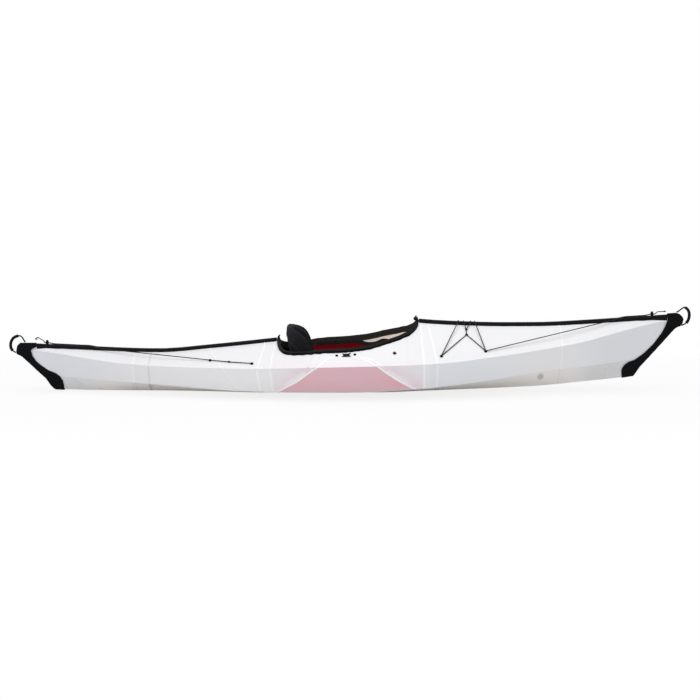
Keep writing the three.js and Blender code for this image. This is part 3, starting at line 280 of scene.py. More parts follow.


# The deck's underside gets a painted glow, as emission, fore of the seat, and painted dark shade behind it;
# beside the seat the red sheet lines the inside up to the gunwales, with a painted glow of its own
GLOW_START = 0.02
LOW_GLOW = (0.19, 0.25)
LINING = (-0.255, 0.105)
COCKPIT_END = 0.5


def paint_inner_light_and_shade(skin):
    """What the sheet's inner faces show: the red lining, a painted glow as emission for light that comes
    through from outside, and painted shade elsewhere inside; the bottom's outer faces get a faint painted
    glow.
    """
    x, z = skin.x, skin.z
    inward = (skin.y * skin.side).curve(-0.01, -0.03) * z.curve(0.06, 0.08)
    inward *= abs(x).curve(COCKPIT_END, COCKPIT_END - 0.01)
    high = z.curve(0.232, 0.240)
    deck = high * x.curve(GLOW_START, GLOW_START + 0.03)
    painted_glow = inward * skin.math("MAXIMUM", deck, x.curve(*LOW_GLOW))
    aft, fore = LINING
    lining = inward * (1.0 - high) * x.curve(aft - 0.01, aft + 0.01) * x.curve(fore + 0.02, fore - 0.02)
    bottom = skin.up.curve(-0.48, -0.60) * z.curve(0.18, 0.15)
    # Painted shade: inner faces without the painted glow are tinted nearly black
    skin.tint(inward - painted_glow, (0.025, 0.02, 0.02))
    skin.tint(lining, (0.22, 0.005, 0.009))
    # Painted glow as emission: on the inner faces, on the bottom's outer faces, and on the red lining
    skin.shader.inputs["Emission Color"].default_value = (0, 0, 0, 1)
    skin.shader.inputs["Emission Strength"].default_value = 1.0
    skin.lay("Emission Color", painted_glow, (0.46, 0.42, 0.39))
    skin.lay("Emission Color", bottom, (0.066, 0.061, 0.055))
    skin.lay("Emission Color", lining, (0.06, 0.0015, 0.003))


# Painted shade on the clamped seam where it leaves the channels: from which x on, half its width, and its
# height along x
SEAM_START = 1.745
SEAM_HALF = 0.012
SEAM_FOOT = (-1.75, 1.75, 0.250, 0.405)


def painted_seam_shade(skin):
    x, y, z = skin.x, skin.y, skin.z
    seam = abs(x).curve(SEAM_START, SEAM_START + 0.005) * abs(y).curve(SEAM_HALF, SEAM_HALF - 0.002)
    seam *= abs(skin.side).curve(0.96, 0.985) * (z - x.line(*SEAM_FOOT)).curve(0, 0.003)
    # Painted shade: the seam's ends are tinted nearly black
    skin.tint(seam, (0.006, 0.006, 0.007))


# Near the ends the bottom panels stand steep and get painted shade below the chine: from which x on, and the
# chine's height along x
BOW_STEEP = (1.15, 1.20)
BOW_CHINE = (1.179, 1.60, 0.142, 0.186)
STERN_STEEP = (-1.20, -1.25)
STERN_CHINE = (-1.20, -1.62, 0.071, 0.090)


def sheet_material(name, creased=False):
    """Translucent white twin-wall sheet, with what lies behind it showing through as a tint, and painted
    shade on faces that look sideways or down; creased, it also takes painted highlights and shade, and
    otherwise painted light and shade inside.
    """
    skin = Surface(name, (0.83, 0.83, 0.845), 0.42, specular=0.3)
    x, z, up = skin.x, skin.z, skin.up
    skin.tint(fluted(skin), (0.77, 0.77, 0.80), 0.10)
    skin.tint(skin.noise(2.2, 3).curve(0.35, 0.75), (0.74, 0.74, 0.80), 0.16)
    flank = up.curve(0.3, 0.0)
    # Painted shade: faces that look sideways turn darker and bluer toward the ends and fore of the cockpit
    skin.tint(abs(x).curve(1.15, 1.75) * flank, (0.62, 0.68, 0.79), 0.35)
    skin.tint(x.curve(0.40, 0.48) * x.curve(1.1, 0.5) * flank, (0.66, 0.71, 0.82), 0.30)
    # Painted shade: faces that look down are tinted darker and warmer, and more so below the chine near the
    # ends
    skin.tint(up.curve(-0.48, -0.60), (0.70, 0.675, 0.64), 0.65)
    for steep, chine in ((BOW_STEEP, BOW_CHINE), (STERN_STEEP, STERN_CHINE)):
        low = (x.line(*chine) - z).curve(0, 0.004) * x.curve(*steep) * up.curve(-0.62, -0.46)
        skin.tint(low, (0.62, 0.615, 0.605), 0.6)
    strong, faint, corner, deck = wing_masks(skin)
    skin.tint(deck, (0.86, 0.66, 0.72), 0.16)
    skin.tint(faint * skin.noise(7, 2).curve(0.25, 0.75, 0.35, 0.8), (0.80, 0.63, 0.70))
    skin.tint(strong, (0.74, 0.475, 0.53))
    skin.tint(strong * corner, (0.80, 0.38, 0.42), 0.55)
    streak = skin.noise(5, 3, (1, 1, 3)).curve(0.4, 0.75)
    skin.tint(strong * streak, (0.68, 0.51, 0.58), 0.35)
    # Painted shade: below the chine the pink turns grey
    foot = (z - x.curve(0.02, 0.37, 0.041, 0.058)).curve(0.016, 0.002)
    skin.tint(strong * foot, (0.62, 0.58, 0.61), 0.7)
    painted_shadow_spots(skin)
    painted_seam_shade(skin)
    if creased:
        # Crease whitening with a painted highlight, and painted shade beside the folds, as the strips give
        # them
        amounts = skin.add("ShaderNodeAttribute", attribute_name="crease").outputs["Vector"]
        white, shade, _ = skin.axes(amounts)
        skin.tint(white, (0.95, 0.95, 0.955))
        skin.tint(shade, (0.50, 0.47, 0.50))
    else:
        paint_inner_light_and_shade(skin)
    skin.rough(skin.noise(60, 4), 0.36, 0.5)
    return skin.owner


def red_sheet_material():
    skin = Surface("red_sheet", (0.30, 0.004, 0.008), 0.6, specular=0.0)
    skin.tint(fluted(skin), (0.25, 0.004, 0.009), 0.25)
    skin.tint(skin.noise(3, 3).curve(0.4, 0.8), (0.28, 0.005, 0.010))
    # Painted shade: the floor aft of the seat hinge is darkened to nearly black
    skin.tint(skin.x.curve(-0.25, -0.30), (0.012, 0.004, 0.004))
    skin.rough(skin.noise(60, 4), 0.55, 0.7)
    return skin.owner


def grained(skin, worn, share, low, high):
    """Fine spark-eroded grain and faint scuffs, and a roughness from low to high."""
    skin.tint(skin.noise(38, 5, rough=0.65).curve(0.54, 0.8), worn, share)
    skin.rough(skin.noise(90, 4), low, high)
    skin.bump(skin.noise(1500, 2), 0.05 * MM, 0.5)


def plastic_material(name, colour, worn, roughness=0.5, specular=0.16):
    skin = Surface(name, colour, roughness, specular=specular)
    grained(skin, worn, 0.3, roughness - 0.07, roughness + 0.12)
    skin.bump(skin.noise(240, 2), 0.08 * MM, 0.3)
    return skin.owner


def rim_material():
    """The rim's plastic is glossy black outside, and dull and greyer on top and on its inner face, where
    light is painted in as a lighter tint.
    """
    skin = Surface("rim_plastic", (0.0028, 0.0028, 0.0032), 0.5, specular=0.05)
    # Painted light: faces that look up, and the inner faces, are tinted lighter grey
    skin.tint(skin.up.curve(0.3, 0.6), (0.009, 0.009, 0.0085))
    inner = (skin.y * skin.side).curve(0.0, -0.03)
    skin.tint(abs(skin.up).curve(0.5, 0.3) * inner, (0.030, 0.030, 0.025))
    grained(skin, (0.022, 0.022, 0.020), 0.2, 0.42, 0.6)
    return skin.owner


def woven(skin, pitch, depth):
    """Over-and-under weave from crossing ripples, on surfaces that face any way."""
    warp = (skin.x + skin.z).ripple(pitch)
    weft = (skin.y - skin.z).ripple(pitch)
    weave = warp * weft + (1.0 - warp) * (1.0 - weft)
    skin.bump(weave, depth, 0.7)
    return weave


def cloth_material():
    """Coated polyester cloth of the cushions."""
    sheen = {"sheen": 0.05, "sheen_roughness": 0.5}
    skin = Surface("cushion_cloth", (0.0065, 0.007, 0.0085), 0.8, specular=0.10, **sheen)
    skin.tint(woven(skin, 1.6 * MM, 0.25 * MM), (0.012, 0.0125, 0.015), 0.5)
    skin.tint(skin.noise(9, 4), (0.018, 0.019, 0.023), 0.25)
    skin.bump(skin.noise(30, 4), 1.0 * MM, 0.35)
    skin.rough(skin.noise(50, 3), 0.7, 0.9)
    return skin.owner


FIBRE = {"specular": 0.15, "sheen": 0.1, "sheen_roughness": 0.4}


def webbing_material(name, colour, bright):
    skin = Surface(name, colour, 0.75, **FIBRE)
    skin.tint(woven(skin, 2.4 * MM, 0.35 * MM), bright, 0.6)
    skin.rough(skin.noise(80, 3), 0.65, 0.85)
    return skin.owner


def foam_material():
    """Closed-cell foam with a skinned, faintly pitted face."""
    skin = Surface("foam", (0.014, 0.0145, 0.017), 0.88, specular=0.12)
    cells = skin.add("ShaderNodeTexVoronoi", {"Vector": skin.place, "Scale": 700.0})
    skin.bump(cells.outputs["Distance"], 0.3 * MM, 0.6)
    skin.tint(skin.noise(40, 4).curve(0.45, 0.75), (0.025, 0.026, 0.030))
    skin.rough(skin.noise(120, 3), 0.8, 0.95)
    return skin.owner


def cord_material():
    """Braided cord: strands cross in both directions along the tube's own coordinates."""
    skin = Surface("braided_cord", (0.009, 0.0095, 0.011), 0.7, **FIBRE)
    around, length, _ = skin.axes(skin.add("ShaderNodeUVMap", uv_map="along").outputs[0])
    left = (around * 4.0 + length).ripple(1.0)
    right = (around * 4.0 - length).ripple(1.0)
    strands = skin.math("MAXIMUM", left, right)
    skin.bump(strands, 0.4 * MM, 0.8)
    skin.tint(strands, (0.024, 0.025, 0.029), 0.5)
    skin.tint((left * length.ripple(4.0)).curve(0.88, 0.96), (0.16, 0.165, 0.175), 0.4)
    return skin.owner


def thread_material():
    """Pale bonded thread of the bar tacks."""
    skin = Surface("stitch_thread", (0.55, 0.55, 0.54), 0.6, specular=0.3)
    skin.tint(skin.noise(900, 2), (0.38, 0.38, 0.38))
    skin.bump(skin.noise(1800, 2), 0.1 * MM, 0.6)
    return skin.owner


def aluminium_material():
    skin = Surface("aluminium", (0.60, 0.61, 0.63), 0.34, metallic=1.0)
    brushed = skin.noise(60, 4, (30, 1, 30))
    skin.rough(brushed, 0.26, 0.46)
    skin.bump(brushed, 0.03 * MM, 0.4)
    skin.tint(skin.noise(12, 3), (0.50, 0.51, 0.54), 0.4)
    return skin.owner


# Colour, colour where worn or bright, and for plastics roughness and specular
PLASTICS = {
    "black_plastic": ((0.005, 0.0055, 0.007), (0.024, 0.025, 0.028), 0.5, 0.09),
    "matte_plastic": ((0.0085, 0.009, 0.0105), (0.017, 0.018, 0.020), 0.6, 0.0),
    "dark_plastic": ((0.022, 0.023, 0.024), (0.06, 0.062, 0.064), 0.5, 0.16),
}
WEBBINGS = {
    "webbing": ((0.009, 0.0095, 0.011), (0.021, 0.022, 0.025)),
    "piping": ((0.006, 0.0062, 0.0075), (0.014, 0.0145, 0.017)),
}


def make_materials():
    return {
        "hull_sheet": sheet_material("white_sheet"),
        "creased_sheet": sheet_material("creased_sheet", creased=True),
        "floor_sheet": red_sheet_material(),
        "rim_plastic": rim_material(),
        "cushion": cloth_material(),
        "foam": foam_material(),
        "cord": cord_material(),
        "thread": thread_material(),
        "aluminium": aluminium_material(),
        **{name: plastic_material(name, *values) for name, values in PLASTICS.items()},
        **{name: webbing_material(name, *values) for name, values in WEBBINGS.items()},
    }


# Geometry helpers

WELD = 0.02 * MM


def welded(name):
    """A CAD node's mesh as a bmesh with its corners joined."""
    mesh = bmesh.new()
    mesh.from_mesh(nodes[name].data)
    bmesh.ops.remove_doubles(mesh, verts=mesh.verts, dist=WELD)
    mesh.normal_update()
    return mesh


def smooth(data):
    data.polygons.foreach_set("use_smooth", [True] * len(data.polygons))


def piece_from(name, mesh, finish, body, slot, instead_of=None):
    data = bpy.data.meshes.new(name)
    bmesh.ops.recalc_face_normals(mesh, faces=mesh.faces)
    mesh.to_mesh(data)
    mesh.free()
    data.materials.append(materials[finish])
    smooth(data)
    made = placed(name, data)
    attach(made, body)
    if instead_of:
        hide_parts(instead_of)
    return made


def modify(made, kind, **settings):
    modifier = made.modifiers.new(kind, kind)
    assign(modifier, settings)
    return modifier


def apply_modifiers(made):
    graph = bpy.context.evaluated_depsgraph_get()
    data = bpy.data.meshes.new_from_object(made.evaluated_get(graph))
    made.modifiers.clear()
    made.data = data


def straight(start, end, steps):
    return [start.lerp(end, k / steps) for k in range(steps + 1)]


def mirrored(points):
    return [(x, -y, z) for x, y, z in points]


def rounded_route(points, cut):
    """A route of points whose corners are rounded off from a distance on both sides."""
    points = [Vector(p) for p in points]
    route = [points[0]]
    for before, here, after in zip(points, points[1:], points[2:]):
        start = here + (before - here) * min(0.45, cut / (before - here).length)
        end = here + (after - here) * min(0.45, cut / (after - here).length)
        for step in range(5):
            t = step / 4
            route.append(start * (1 - t) ** 2 + here * (2 * t * (1 - t)) + end * t ** 2)
    route.append(points[-1])
    return route


def spline(points, count):
    """A smooth route of evenly counted points through the given ones."""
    points = [Vector(p) for p in points]
    ends = [points[0] * 2 - points[1], *points, points[-1] * 2 - points[-2]]
    spans = len(points) - 1
    route = []
    for i in range(count + 1):
        place = min(i / count * spans, spans - 1e-9)
        k = int(place)
        t = place - k
        a, b, c, d = ends[k:k + 4]
        bend = (a * 2 - b * 5 + c * 4 - d) * t ** 2 + (b * 3 - a - c * 3 + d) * t ** 3
        route.append((b * 2 + (c - a) * t + bend) / 2)
    return route


def lengths(route, closed=False):
    """Distance along a route to each of its points."""
    total = 0.0
    result = [0.0]
    pairs = list(zip(route, route[1:])) + ([(route[-1], route[0])] if closed else [])
    for a, b in pairs:
        total += (b - a).length
        result.append(total)
    return result


def sweep(mesh, route, section, unit, across=None, closed=False):
    """Skins a section of (aside, outward) offsets along a route, with coordinates round and along it."""
    count = len(route)
    side = None
    rows = []
    for i, here in enumerate(route):
        before = route[i - 1] if closed or i > 0 else here
        after = route[(i + 1) % count] if closed or i < count - 1 else here
        along = (after - before).normalized()
        if across is not None:
            side = across(here)
        elif side is None:
            side = along.orthogonal()
        side = (side - along * side.dot(along)).normalized()
        out = along.cross(side)
        rows.append([mesh.verts.new(here + side * a + out * b) for a, b in section])
    uv = mesh.loops.layers.uv.get("along") or mesh.loops.layers.uv.new("along")
    marks = [length / unit for length in lengths(route, closed)]
    sides = len(section)
    for r in range(count if closed else count - 1):
        here, after = rows[r], rows[(r + 1) % count]
        for i in range(sides):
            j = (i + 1) % sides
            face = mesh.faces.new((here[i], here[j], after[j], after[i]))
            corners = ((i, r), (i + 1, r), (i + 1, r + 1), (i, r + 1))
            for loop, (round_at, mark) in zip(face.loops, corners):
                loop[uv].uv = (round_at / sides, marks[mark])
    if not closed:
        mesh.faces.new(rows[0][::-1])
        mesh.faces.new(rows[-1])


def swept_piece(name, look, route, section, unit, across=None, closed=False):
    """A piece of one sweep; its look holds its finish, body, a slot that is not used, and any node that it
    stands for.
    """
    mesh = bmesh.new()
    sweep(mesh, route, section, unit, across, closed)
    return piece_from(name, mesh, *look)


def join_rows(mesh, rows, around=True):
    """Fills in faces between neighbouring rows of points; a row may be a single point."""
    for here, after in zip(rows, rows[1:]):
        count = max(len(here), len(after))
        for k in range(count if around else count - 1):
            j = (k + 1) % count
            corners = [here[k % len(here)], here[j % len(here)], after[j % len(after)], after[k % len(after)]]
            mesh.faces.new(list(dict.fromkeys(corners)))


def circle(radius, sides):
    turns = [tau * k / sides for k in range(sides)]
    return [(radius * cos(t), radius * sin(t)) for t in turns]


def strip_section(width, thickness):
    """Flat band with rounded long edges and a slight crown on its faces."""
    half = width / 2
    edge = thickness / 2
    right = [(half - edge * 0.3, -edge * 0.8), (half, 0), (half - edge * 0.3, edge * 0.8)]
    top = [(half * share, edge) for share in (0.8, 0.3, -0.3, -0.8)]
    left = [(-a, -b) for a, b in right]
    bottom = [(-a, -b) for a, b in top]
    return right + top + left + bottom


# Rigid pieces: the CAD nodes with rounded edges and their finish

BUTTON_PLAY = 0.04 * MM
FOLD_ANGLE = radians(12)
EDGE_ANGLE = radians(28)

# Finish, edge radius in millimetres and nodes, those of both sides named once without their side
RIGID_PIECES = [
    ("hull_sheet", 0, "hull_sheet"),
    ("hull_sheet", 0.6, "front_bulkhead rear_bulkhead"),
    ("floor_sheet", 0.8, "floorboard"),
    ("matte_plastic", 1.5, "bow_fairing stern_fairing"),
    ("rim_plastic", 1.0, "coaming"),
    ("aluminium", 0.4, "footrest_bar"),
    ("black_plastic", 0, "coaming_rear_ring"),
    ("black_plastic", 0.5, "front_lock_button rear_lock_button clip_rivet_1 clip_rivet_2"),
    ("black_plastic", 0.5, "front_anchor_1 front_anchor_2 rear_anchor_1 rear_anchor_2"),
    ("black_plastic", 0.6, "front_cord_lock rear_cord_lock side_clip deck_rivet"),
    ("black_plastic", 0.8, "bow_grip stern_grip"),
    ("black_plastic", 1.0, "coaming_front_buckle"),
    ("black_plastic", 1.2, "front_deck_channel rear_deck_channel coaming_rear_hook footrest_buckle"),
]


def dress(name, finish, edge):
    """Rounds the edges of a CAD node and gives it a finish; its own mesh stays as it is."""
    node = nodes[name]
    mesh = node.data
    for attribute in ("custom_normal", "sharp_edge", "sharp_face"):
        if attribute in mesh.attributes:
            mesh.attributes.remove(mesh.attributes[attribute])
    smooth(mesh)
    modify(node, "WELD", merge_threshold=WELD)
    if name.endswith("lock_button"):
        modify(node, "DISPLACE", mid_level=0, strength=-BUTTON_PLAY)
    if name == "hull_sheet":
        modify(node, "EDGE_SPLIT", split_angle=FOLD_ANGLE)
    if edge:
        modify(node, "BEVEL", width=edge, segments=2, limit_method="ANGLE", angle_limit=EDGE_ANGLE)
    modify(node, "WEIGHTED_NORMAL", keep_sharp=True)
    mesh.materials.clear()
    mesh.materials.append(materials[finish])


def dress_rigid_pieces():
    for finish, edge, stems in RIGID_PIECES:
        for name in nodes:
            stem, _, end = name.rpartition("_")
            if (stem if end in SIDES else name) in stems.split():
                dress(name, finish, edge * MM)


# Cords. The routes repeat those of the CAD cords, given for the starboard side where they are mirrored.

DECK_CORD_RADIUS = 2.5 * MM
LOOP_CORD_RADIUS = 4 * MM
CORD_SIDES = 10
BRAID_PITCH = 2.2

FRONT_AFT_EYE = (0.5052, -0.2359, 0.2447)
FRONT_FORE_EYE = (0.7516, -0.1918, 0.2642)
LOW_KNOT = (0.6511, -0.0798, 0.3359)
HIGH_KNOT = (0.6511, -0.0438, 0.3587)
FRONT_SIDE_ROUTES = [
    [FRONT_AFT_EYE, LOW_KNOT, FRONT_FORE_EYE],
    [LOW_KNOT, HIGH_KNOT],
    [
        FRONT_FORE_EYE, (1.4749, -0.0134, 0.4072), (1.5109, -0.0134, 0.4165), (1.5469, -0.0074, 0.4249),
        (1.5829, -0.0032, 0.4272), (1.6549, -0.0032, 0.432), (1.6819, -0.0032, 0.4384),
        (1.7039, -0.0032, 0.4384), (1.711, -0.0012, 0.4422),
    ],
]
# Cords that run over the ridge, up to it
FRONT_CROSSINGS = [
    [HIGH_KNOT, (0.638, -0.0074, 0.4017)],
    [HIGH_KNOT, (0.679, -0.0074, 0.4002)],
    [FRONT_AFT_EYE, (0.6099, -0.0074, 0.4028)],
    [FRONT_FORE_EYE, (0.6999, -0.0074, 0.3994)],
]
FRONT_TAIL = [
    (1.7039, 0, 0.4384), (1.715, 0, 0.445), (1.7253, 0, 0.4528), (1.7428, 0, 0.453), (1.7621, 0, 0.454),
]
REAR_SIDE_ROUTES = [
    [(-0.5364, -0.2336, 0.202), (-0.6642, -0.2, 0.2039), (-0.7702, -0.1664, 0.2081)],
    [
        (-0.7702, -0.1664, 0.2081), (-1.389, -0.0134, 0.2446), (-1.425, -0.0134, 0.2533),
        (-1.461, -0.0074, 0.261), (-1.497, -0.0032, 0.2626), (-1.6579, -0.0032, 0.2707),
        (-1.6849, -0.0032, 0.2766), (-1.7069, -0.0032, 0.2766), (-1.7128, -0.0012, 0.2846),
    ],
]
REAR_TAIL = [
    (-1.7069, 0, 0.2766), (-1.716, 0, 0.289), (-1.7329, 0, 0.299), (-1.7481, 0, 0.307),
    (-1.7561, 0, 0.298),
]
FRONT_KNOTS = [(0.6512, -0.0808, 0.3375), (0.6512, -0.0448, 0.3603)]
REAR_KNOTS = [(-0.6642, -0.2, 0.2049)]
BOW_LOOP = [
    (1.8281, 0, 0.4491), (1.8461, 0, 0.46), (1.862, 0, 0.473), (1.876, 0, 0.477), (1.893, 0, 0.462),
    (1.9, 0, 0.44), (1.8989, 0, 0.418), (1.893, 0, 0.4), (1.8831, 0, 0.388), (1.872, 0, 0.381),
    (1.8575, 0, 0.3752),
]
STERN_LOOP = [
    (-1.8178, 0, 0.2791), (-1.825, 0, 0.292), (-1.8369, 0, 0.31), (-1.8551, 0, 0.3165),
    (-1.8801, 0, 0.306), (-1.8959, 0, 0.284), (-1.9, 0, 0.262), (-1.8971, 0, 0.243), (-1.8879, 0, 0.231),
    (-1.8704, 0, 0.2204),
]
# How far from a corner a deck cord begins to turn
CORNER_CUT = 12 * MM


def cord(radius):
    """Section of a cord and the length in which its braid repeats."""
    return circle(radius, CORD_SIDES), 2 * BRAID_PITCH * radius


def tie_knot(mesh, centre, size, radius):
    """Overhand knot, drawn as a tight trefoil."""
    centre = Vector(centre)
    turns = [tau * k / 36 for k in range(36)]
    scale = (size - radius) / 3
    route = [centre + scale * Vector((
        sin(t) + 2 * sin(2 * t),
        cos(t) - 2 * cos(2 * t),
        -1.1 * sin(3 * t),
    )) for t in turns]
    above = lambda p: p - centre + Vector((0, 0, size / 2))
    sweep(mesh, route, circle(radius, 8), 4 * radius, above, closed=True)


def deck_cord(end, side_routes, crossings, knots):
    mesh = bmesh.new()
    over = [route + mirrored(route)[::-1] for route in crossings]
    for route in side_routes + [mirrored(route) for route in side_routes] + over:
        sweep(mesh, rounded_route(route, CORNER_CUT), *cord(DECK_CORD_RADIUS))
    for knot in knots + mirrored(knots):
        tie_knot(mesh, knot, 8.5 * MM, 2.6 * MM)
    piece_from(f"{end}_braided_deck_cord", mesh, "cord", "hull", "cord", f"{end}_deck_cord")


def cord_tail(end, points):
    """The cord's free end past its lock, with the knot that stops it."""
    route = spline(points, 18)
    look = ("cord", "hull", "cord")
    made = swept_piece(f"{end}_cord_tail", look, route, *cord(DECK_CORD_RADIUS))
    mesh = bmesh.new()
    tie_knot(mesh, points[-1], 7.5 * MM, 2.3 * MM)
    knot = piece_from(f"{end}_tail_knot", mesh, *look)


def carry_loop(end, points):
    look = ("cord", f"{end}_handle", "cord", f"{end}_loop_cord")
    swept_piece(f"{end}_braided_loop", look, spline(points, 60), *cord(LOOP_CORD_RADIUS))


def make_cords():
    deck_cord("front", FRONT_SIDE_ROUTES, FRONT_CROSSINGS, FRONT_KNOTS)
    deck_cord("rear", REAR_SIDE_ROUTES, [], REAR_KNOTS)
    cord_tail("front", FRONT_TAIL)
    cord_tail("rear", REAR_TAIL)
    carry_loop("bow", BOW_LOOP)
    carry_loop("stern", STERN_LOOP)


# Straps and buckles

STRAP_THICKNESS = 2.4 * MM
SIDE_STRAP_WIDTH = 22 * MM
SIDE_STRAP_ROUTE = [
    (0.2171, -0.1601, 0.261), (0.1879, -0.1704, 0.2595), (0.1584, -0.179, 0.245),
    (0.1282, -0.1855, 0.238), (0.0974, -0.1905, 0.238), (0.0664, -0.1947, 0.247),
    (0.0353, -0.1974, 0.252), (0.0039, -0.1989, 0.2508), (-0.0277, -0.1999, 0.2483),
    (-0.0591, -0.2001, 0.2462), (-0.0905, -0.1993, 0.2447), (-0.1218, -0.1974, 0.2437),
    (-0.1531, -0.1945, 0.24), (-0.1843, -0.1907, 0.2383),
]
UP = Vector((0, 0, 1))
ACROSS = Vector((0, 1, 0))


def webbing(name, body, node, route, width, thickness, across):
    look = ("webbing", body, "webbing", node)
    return swept_piece(name, look, route, strip_section(width, thickness), width, lambda p: across)


THREAD_RADIUS = 0.45 * MM
STITCH = 3.2 * MM
STITCH_GAP = 1.6 * MM


def bar_tack(mesh, start, end):
    """Row of short stitches from start to end."""
    run = end - start
    count = max(1, int((run.length + STITCH_GAP) / (STITCH + STITCH_GAP)))
    along = run.normalized()
    for k in range(count):
        first = start + along * (k * (STITCH + STITCH_GAP))
        sweep(mesh, [first, first + along * STITCH], circle(THREAD_RADIUS, 6), 1.0)


def side_strap(side):
    route = spline(SIDE_STRAP_ROUTE if side == "starboard" else mirrored(SIDE_STRAP_ROUTE), 60)
    node = f"side_strap_{side}"
    webbing(f"side_webbing_{side}", "rim", node, route, SIDE_STRAP_WIDTH, STRAP_THICKNESS, UP)


def slab(mesh, low, high, edge):
    """A bar with bevelled edges between two corners."""
    middle = (low + high) / 2
    size = high - low
    made = bmesh.ops.create_cube(mesh, size=1)["verts"]
    for vert in made:
        vert.co = middle + vert.co * size
    edges = {e for v in made for e in v.link_edges}
    bmesh.ops.bevel(mesh, geom=list(edges), offset=edge, segments=2, affect="EDGES")


BUCKLE_RAIL = 4.5 * MM
BUCKLE_BAR = 5 * MM
BUCKLE_INSET = 0.5 * MM


def ladder_buckle(side):
    """Ladder-lock buckle on the side strap: two rails joined by three bars."""
    node = f"side_strap_buckle_{side}"
    low, high = (Vector(corner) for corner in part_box(node))
    mesh = bmesh.new()
    for bottom in (low.z, high.z - BUCKLE_RAIL):
        slab(mesh, Vector((low.x, low.y, bottom)), Vector((high.x, high.y, bottom + BUCKLE_RAIL)), 1.1 * MM)
    for start in (low.x, (low.x + high.x - BUCKLE_BAR) / 2, high.x - BUCKLE_BAR):
        first = Vector((start, low.y + BUCKLE_INSET, low.z + BUCKLE_RAIL / 2))
        last = Vector((start + BUCKLE_BAR, high.y - BUCKLE_INSET, high.z - BUCKLE_RAIL / 2))
        slab(mesh, first, last, 1.2 * MM)
    piece_from(f"ladder_buckle_{side}", mesh, "dark_plastic", "rim", "grey_plastic", node)


REAR_STRAP_X = -0.3869
REAR_STRAP_TOP = 0.2867
REAR_STRAP_WIDTH = 25 * MM
REAR_STRAP_LENGTH = 52 * MM
TACK_HALF = 9 * MM
TACKS_UP = (8 * MM, 14 * MM, 20 * MM)
TACKS_DOWN = (16 * MM, 10 * MM)


def rear_strap():
    bottom = REAR_STRAP_TOP - REAR_STRAP_LENGTH
    route = straight(Vector((REAR_STRAP_X, 0, bottom)), Vector((REAR_STRAP_X, 0, REAR_STRAP_TOP)), 8)
    webbing("rear_webbing", "rim", "coaming_rear_strap", route, REAR_STRAP_WIDTH, STRAP_THICKNESS, ACROSS)
    face = REAR_STRAP_X + STRAP_THICKNESS / 2
    mesh = bmesh.new()
    for height in [bottom + up for up in TACKS_UP] + [REAR_STRAP_TOP - down for down in TACKS_DOWN]:
        bar_tack(mesh, Vector((face, -TACK_HALF, height)), Vector((face, TACK_HALF, height)))
    piece_from("rear_webbing_tacks", mesh, "thread", "rim", "webbing")


HINGE_X = -0.2605
HINGE_HEIGHT = 0.082
HINGE_BOTTOM = 0.024
HINGE_WIDTH = 0.180
HINGE_THICKNESS = 3 * MM
ROLL_RADIUS = 2.5 * MM


def hinge_strap():
    mesh = bmesh.new()
    top = Vector((HINGE_X, 0, HINGE_HEIGHT))
    route = straight(Vector((HINGE_X, 0, HINGE_BOTTOM)), top, 8)
    sweep(mesh, route, strip_section(HINGE_WIDTH, HINGE_THICKNESS), HINGE_WIDTH, lambda p: ACROSS)
    aside = ACROSS * (HINGE_WIDTH / 2)
    sweep(mesh, straight(top - aside, top + aside, 12), circle(ROLL_RADIUS, 14), HINGE_WIDTH)
    piece_from("hinge_webbing", mesh, "webbing", "hull", "webbing", "seat_hinge_strap")


FOOT_STRAP_START = Vector((0.060, 0, 0.038))
FOOT_STRAP_RUN = Vector((0.78694, 0, 0.78694 * 0.08))
FOOT_STRAP_SHARES = (0.0006, 0.9996)
FOOT_STRAP_SIDE = 0.110
FOOT_STRAP_WIDTH = 25 * MM
FOOT_STRAP_THICKNESS = 2 * MM


def footrest_strap(side):
    aside = ACROSS * (SIDES[side] * FOOT_STRAP_SIDE)
    start, end = (FOOT_STRAP_START + aside + FOOT_STRAP_RUN * share for share in FOOT_STRAP_SHARES)
    route = straight(start, end, 40)
    node = f"footrest_strap_{side}"
    webbing(f"footrest_webbing_{side}", "hull", node, route, FOOT_STRAP_WIDTH, FOOT_STRAP_THICKNESS, ACROSS)


def make_straps():
    for side in SIDES:
        side_strap(side)
        ladder_buckle(side)
        footrest_strap(side)
    rear_strap()
    hinge_strap()


# Foam pieces

SEAT_FOAM_EDGE = 5 * MM


def seat_foam():
    """The seat base's form with well rounded edges."""
    mesh = welded("seat_base")
    bmesh.ops.dissolve_limit(mesh, angle_limit=radians(1), verts=mesh.verts, edges=mesh.edges)
    sharp = [e for e in mesh.edges if len(e.link_faces) == 2 and e.calc_face_angle(0) > radians(25)]
    bmesh.ops.bevel(mesh, geom=sharp, offset=SEAT_FOAM_EDGE, segments=3, affect="EDGES", clamp_overlap=True)
    made = piece_from("seat_foam", mesh, "foam", "hull", "foam", "seat_base")
    modify(made, "WEIGHTED_NORMAL", keep_sharp=True)


SLEEVE_HALF = 0.092
SLEEVE_RADIUS = 19 * MM
SLEEVE_BORE = 11.3 * MM
SLEEVE_SIDES = 40
SLEEVE_SLIT = 0.8 * MM
# From the end of the sleeve in: how far its face lies inside its radius, and share of its half length
SLEEVE_END = [(3 * MM, 1.0), (1 * MM, 0.99), (0.2 * MM, 0.965), (0.8 * MM, 0.4)]
SLEEVE_WAIST = 1 * MM


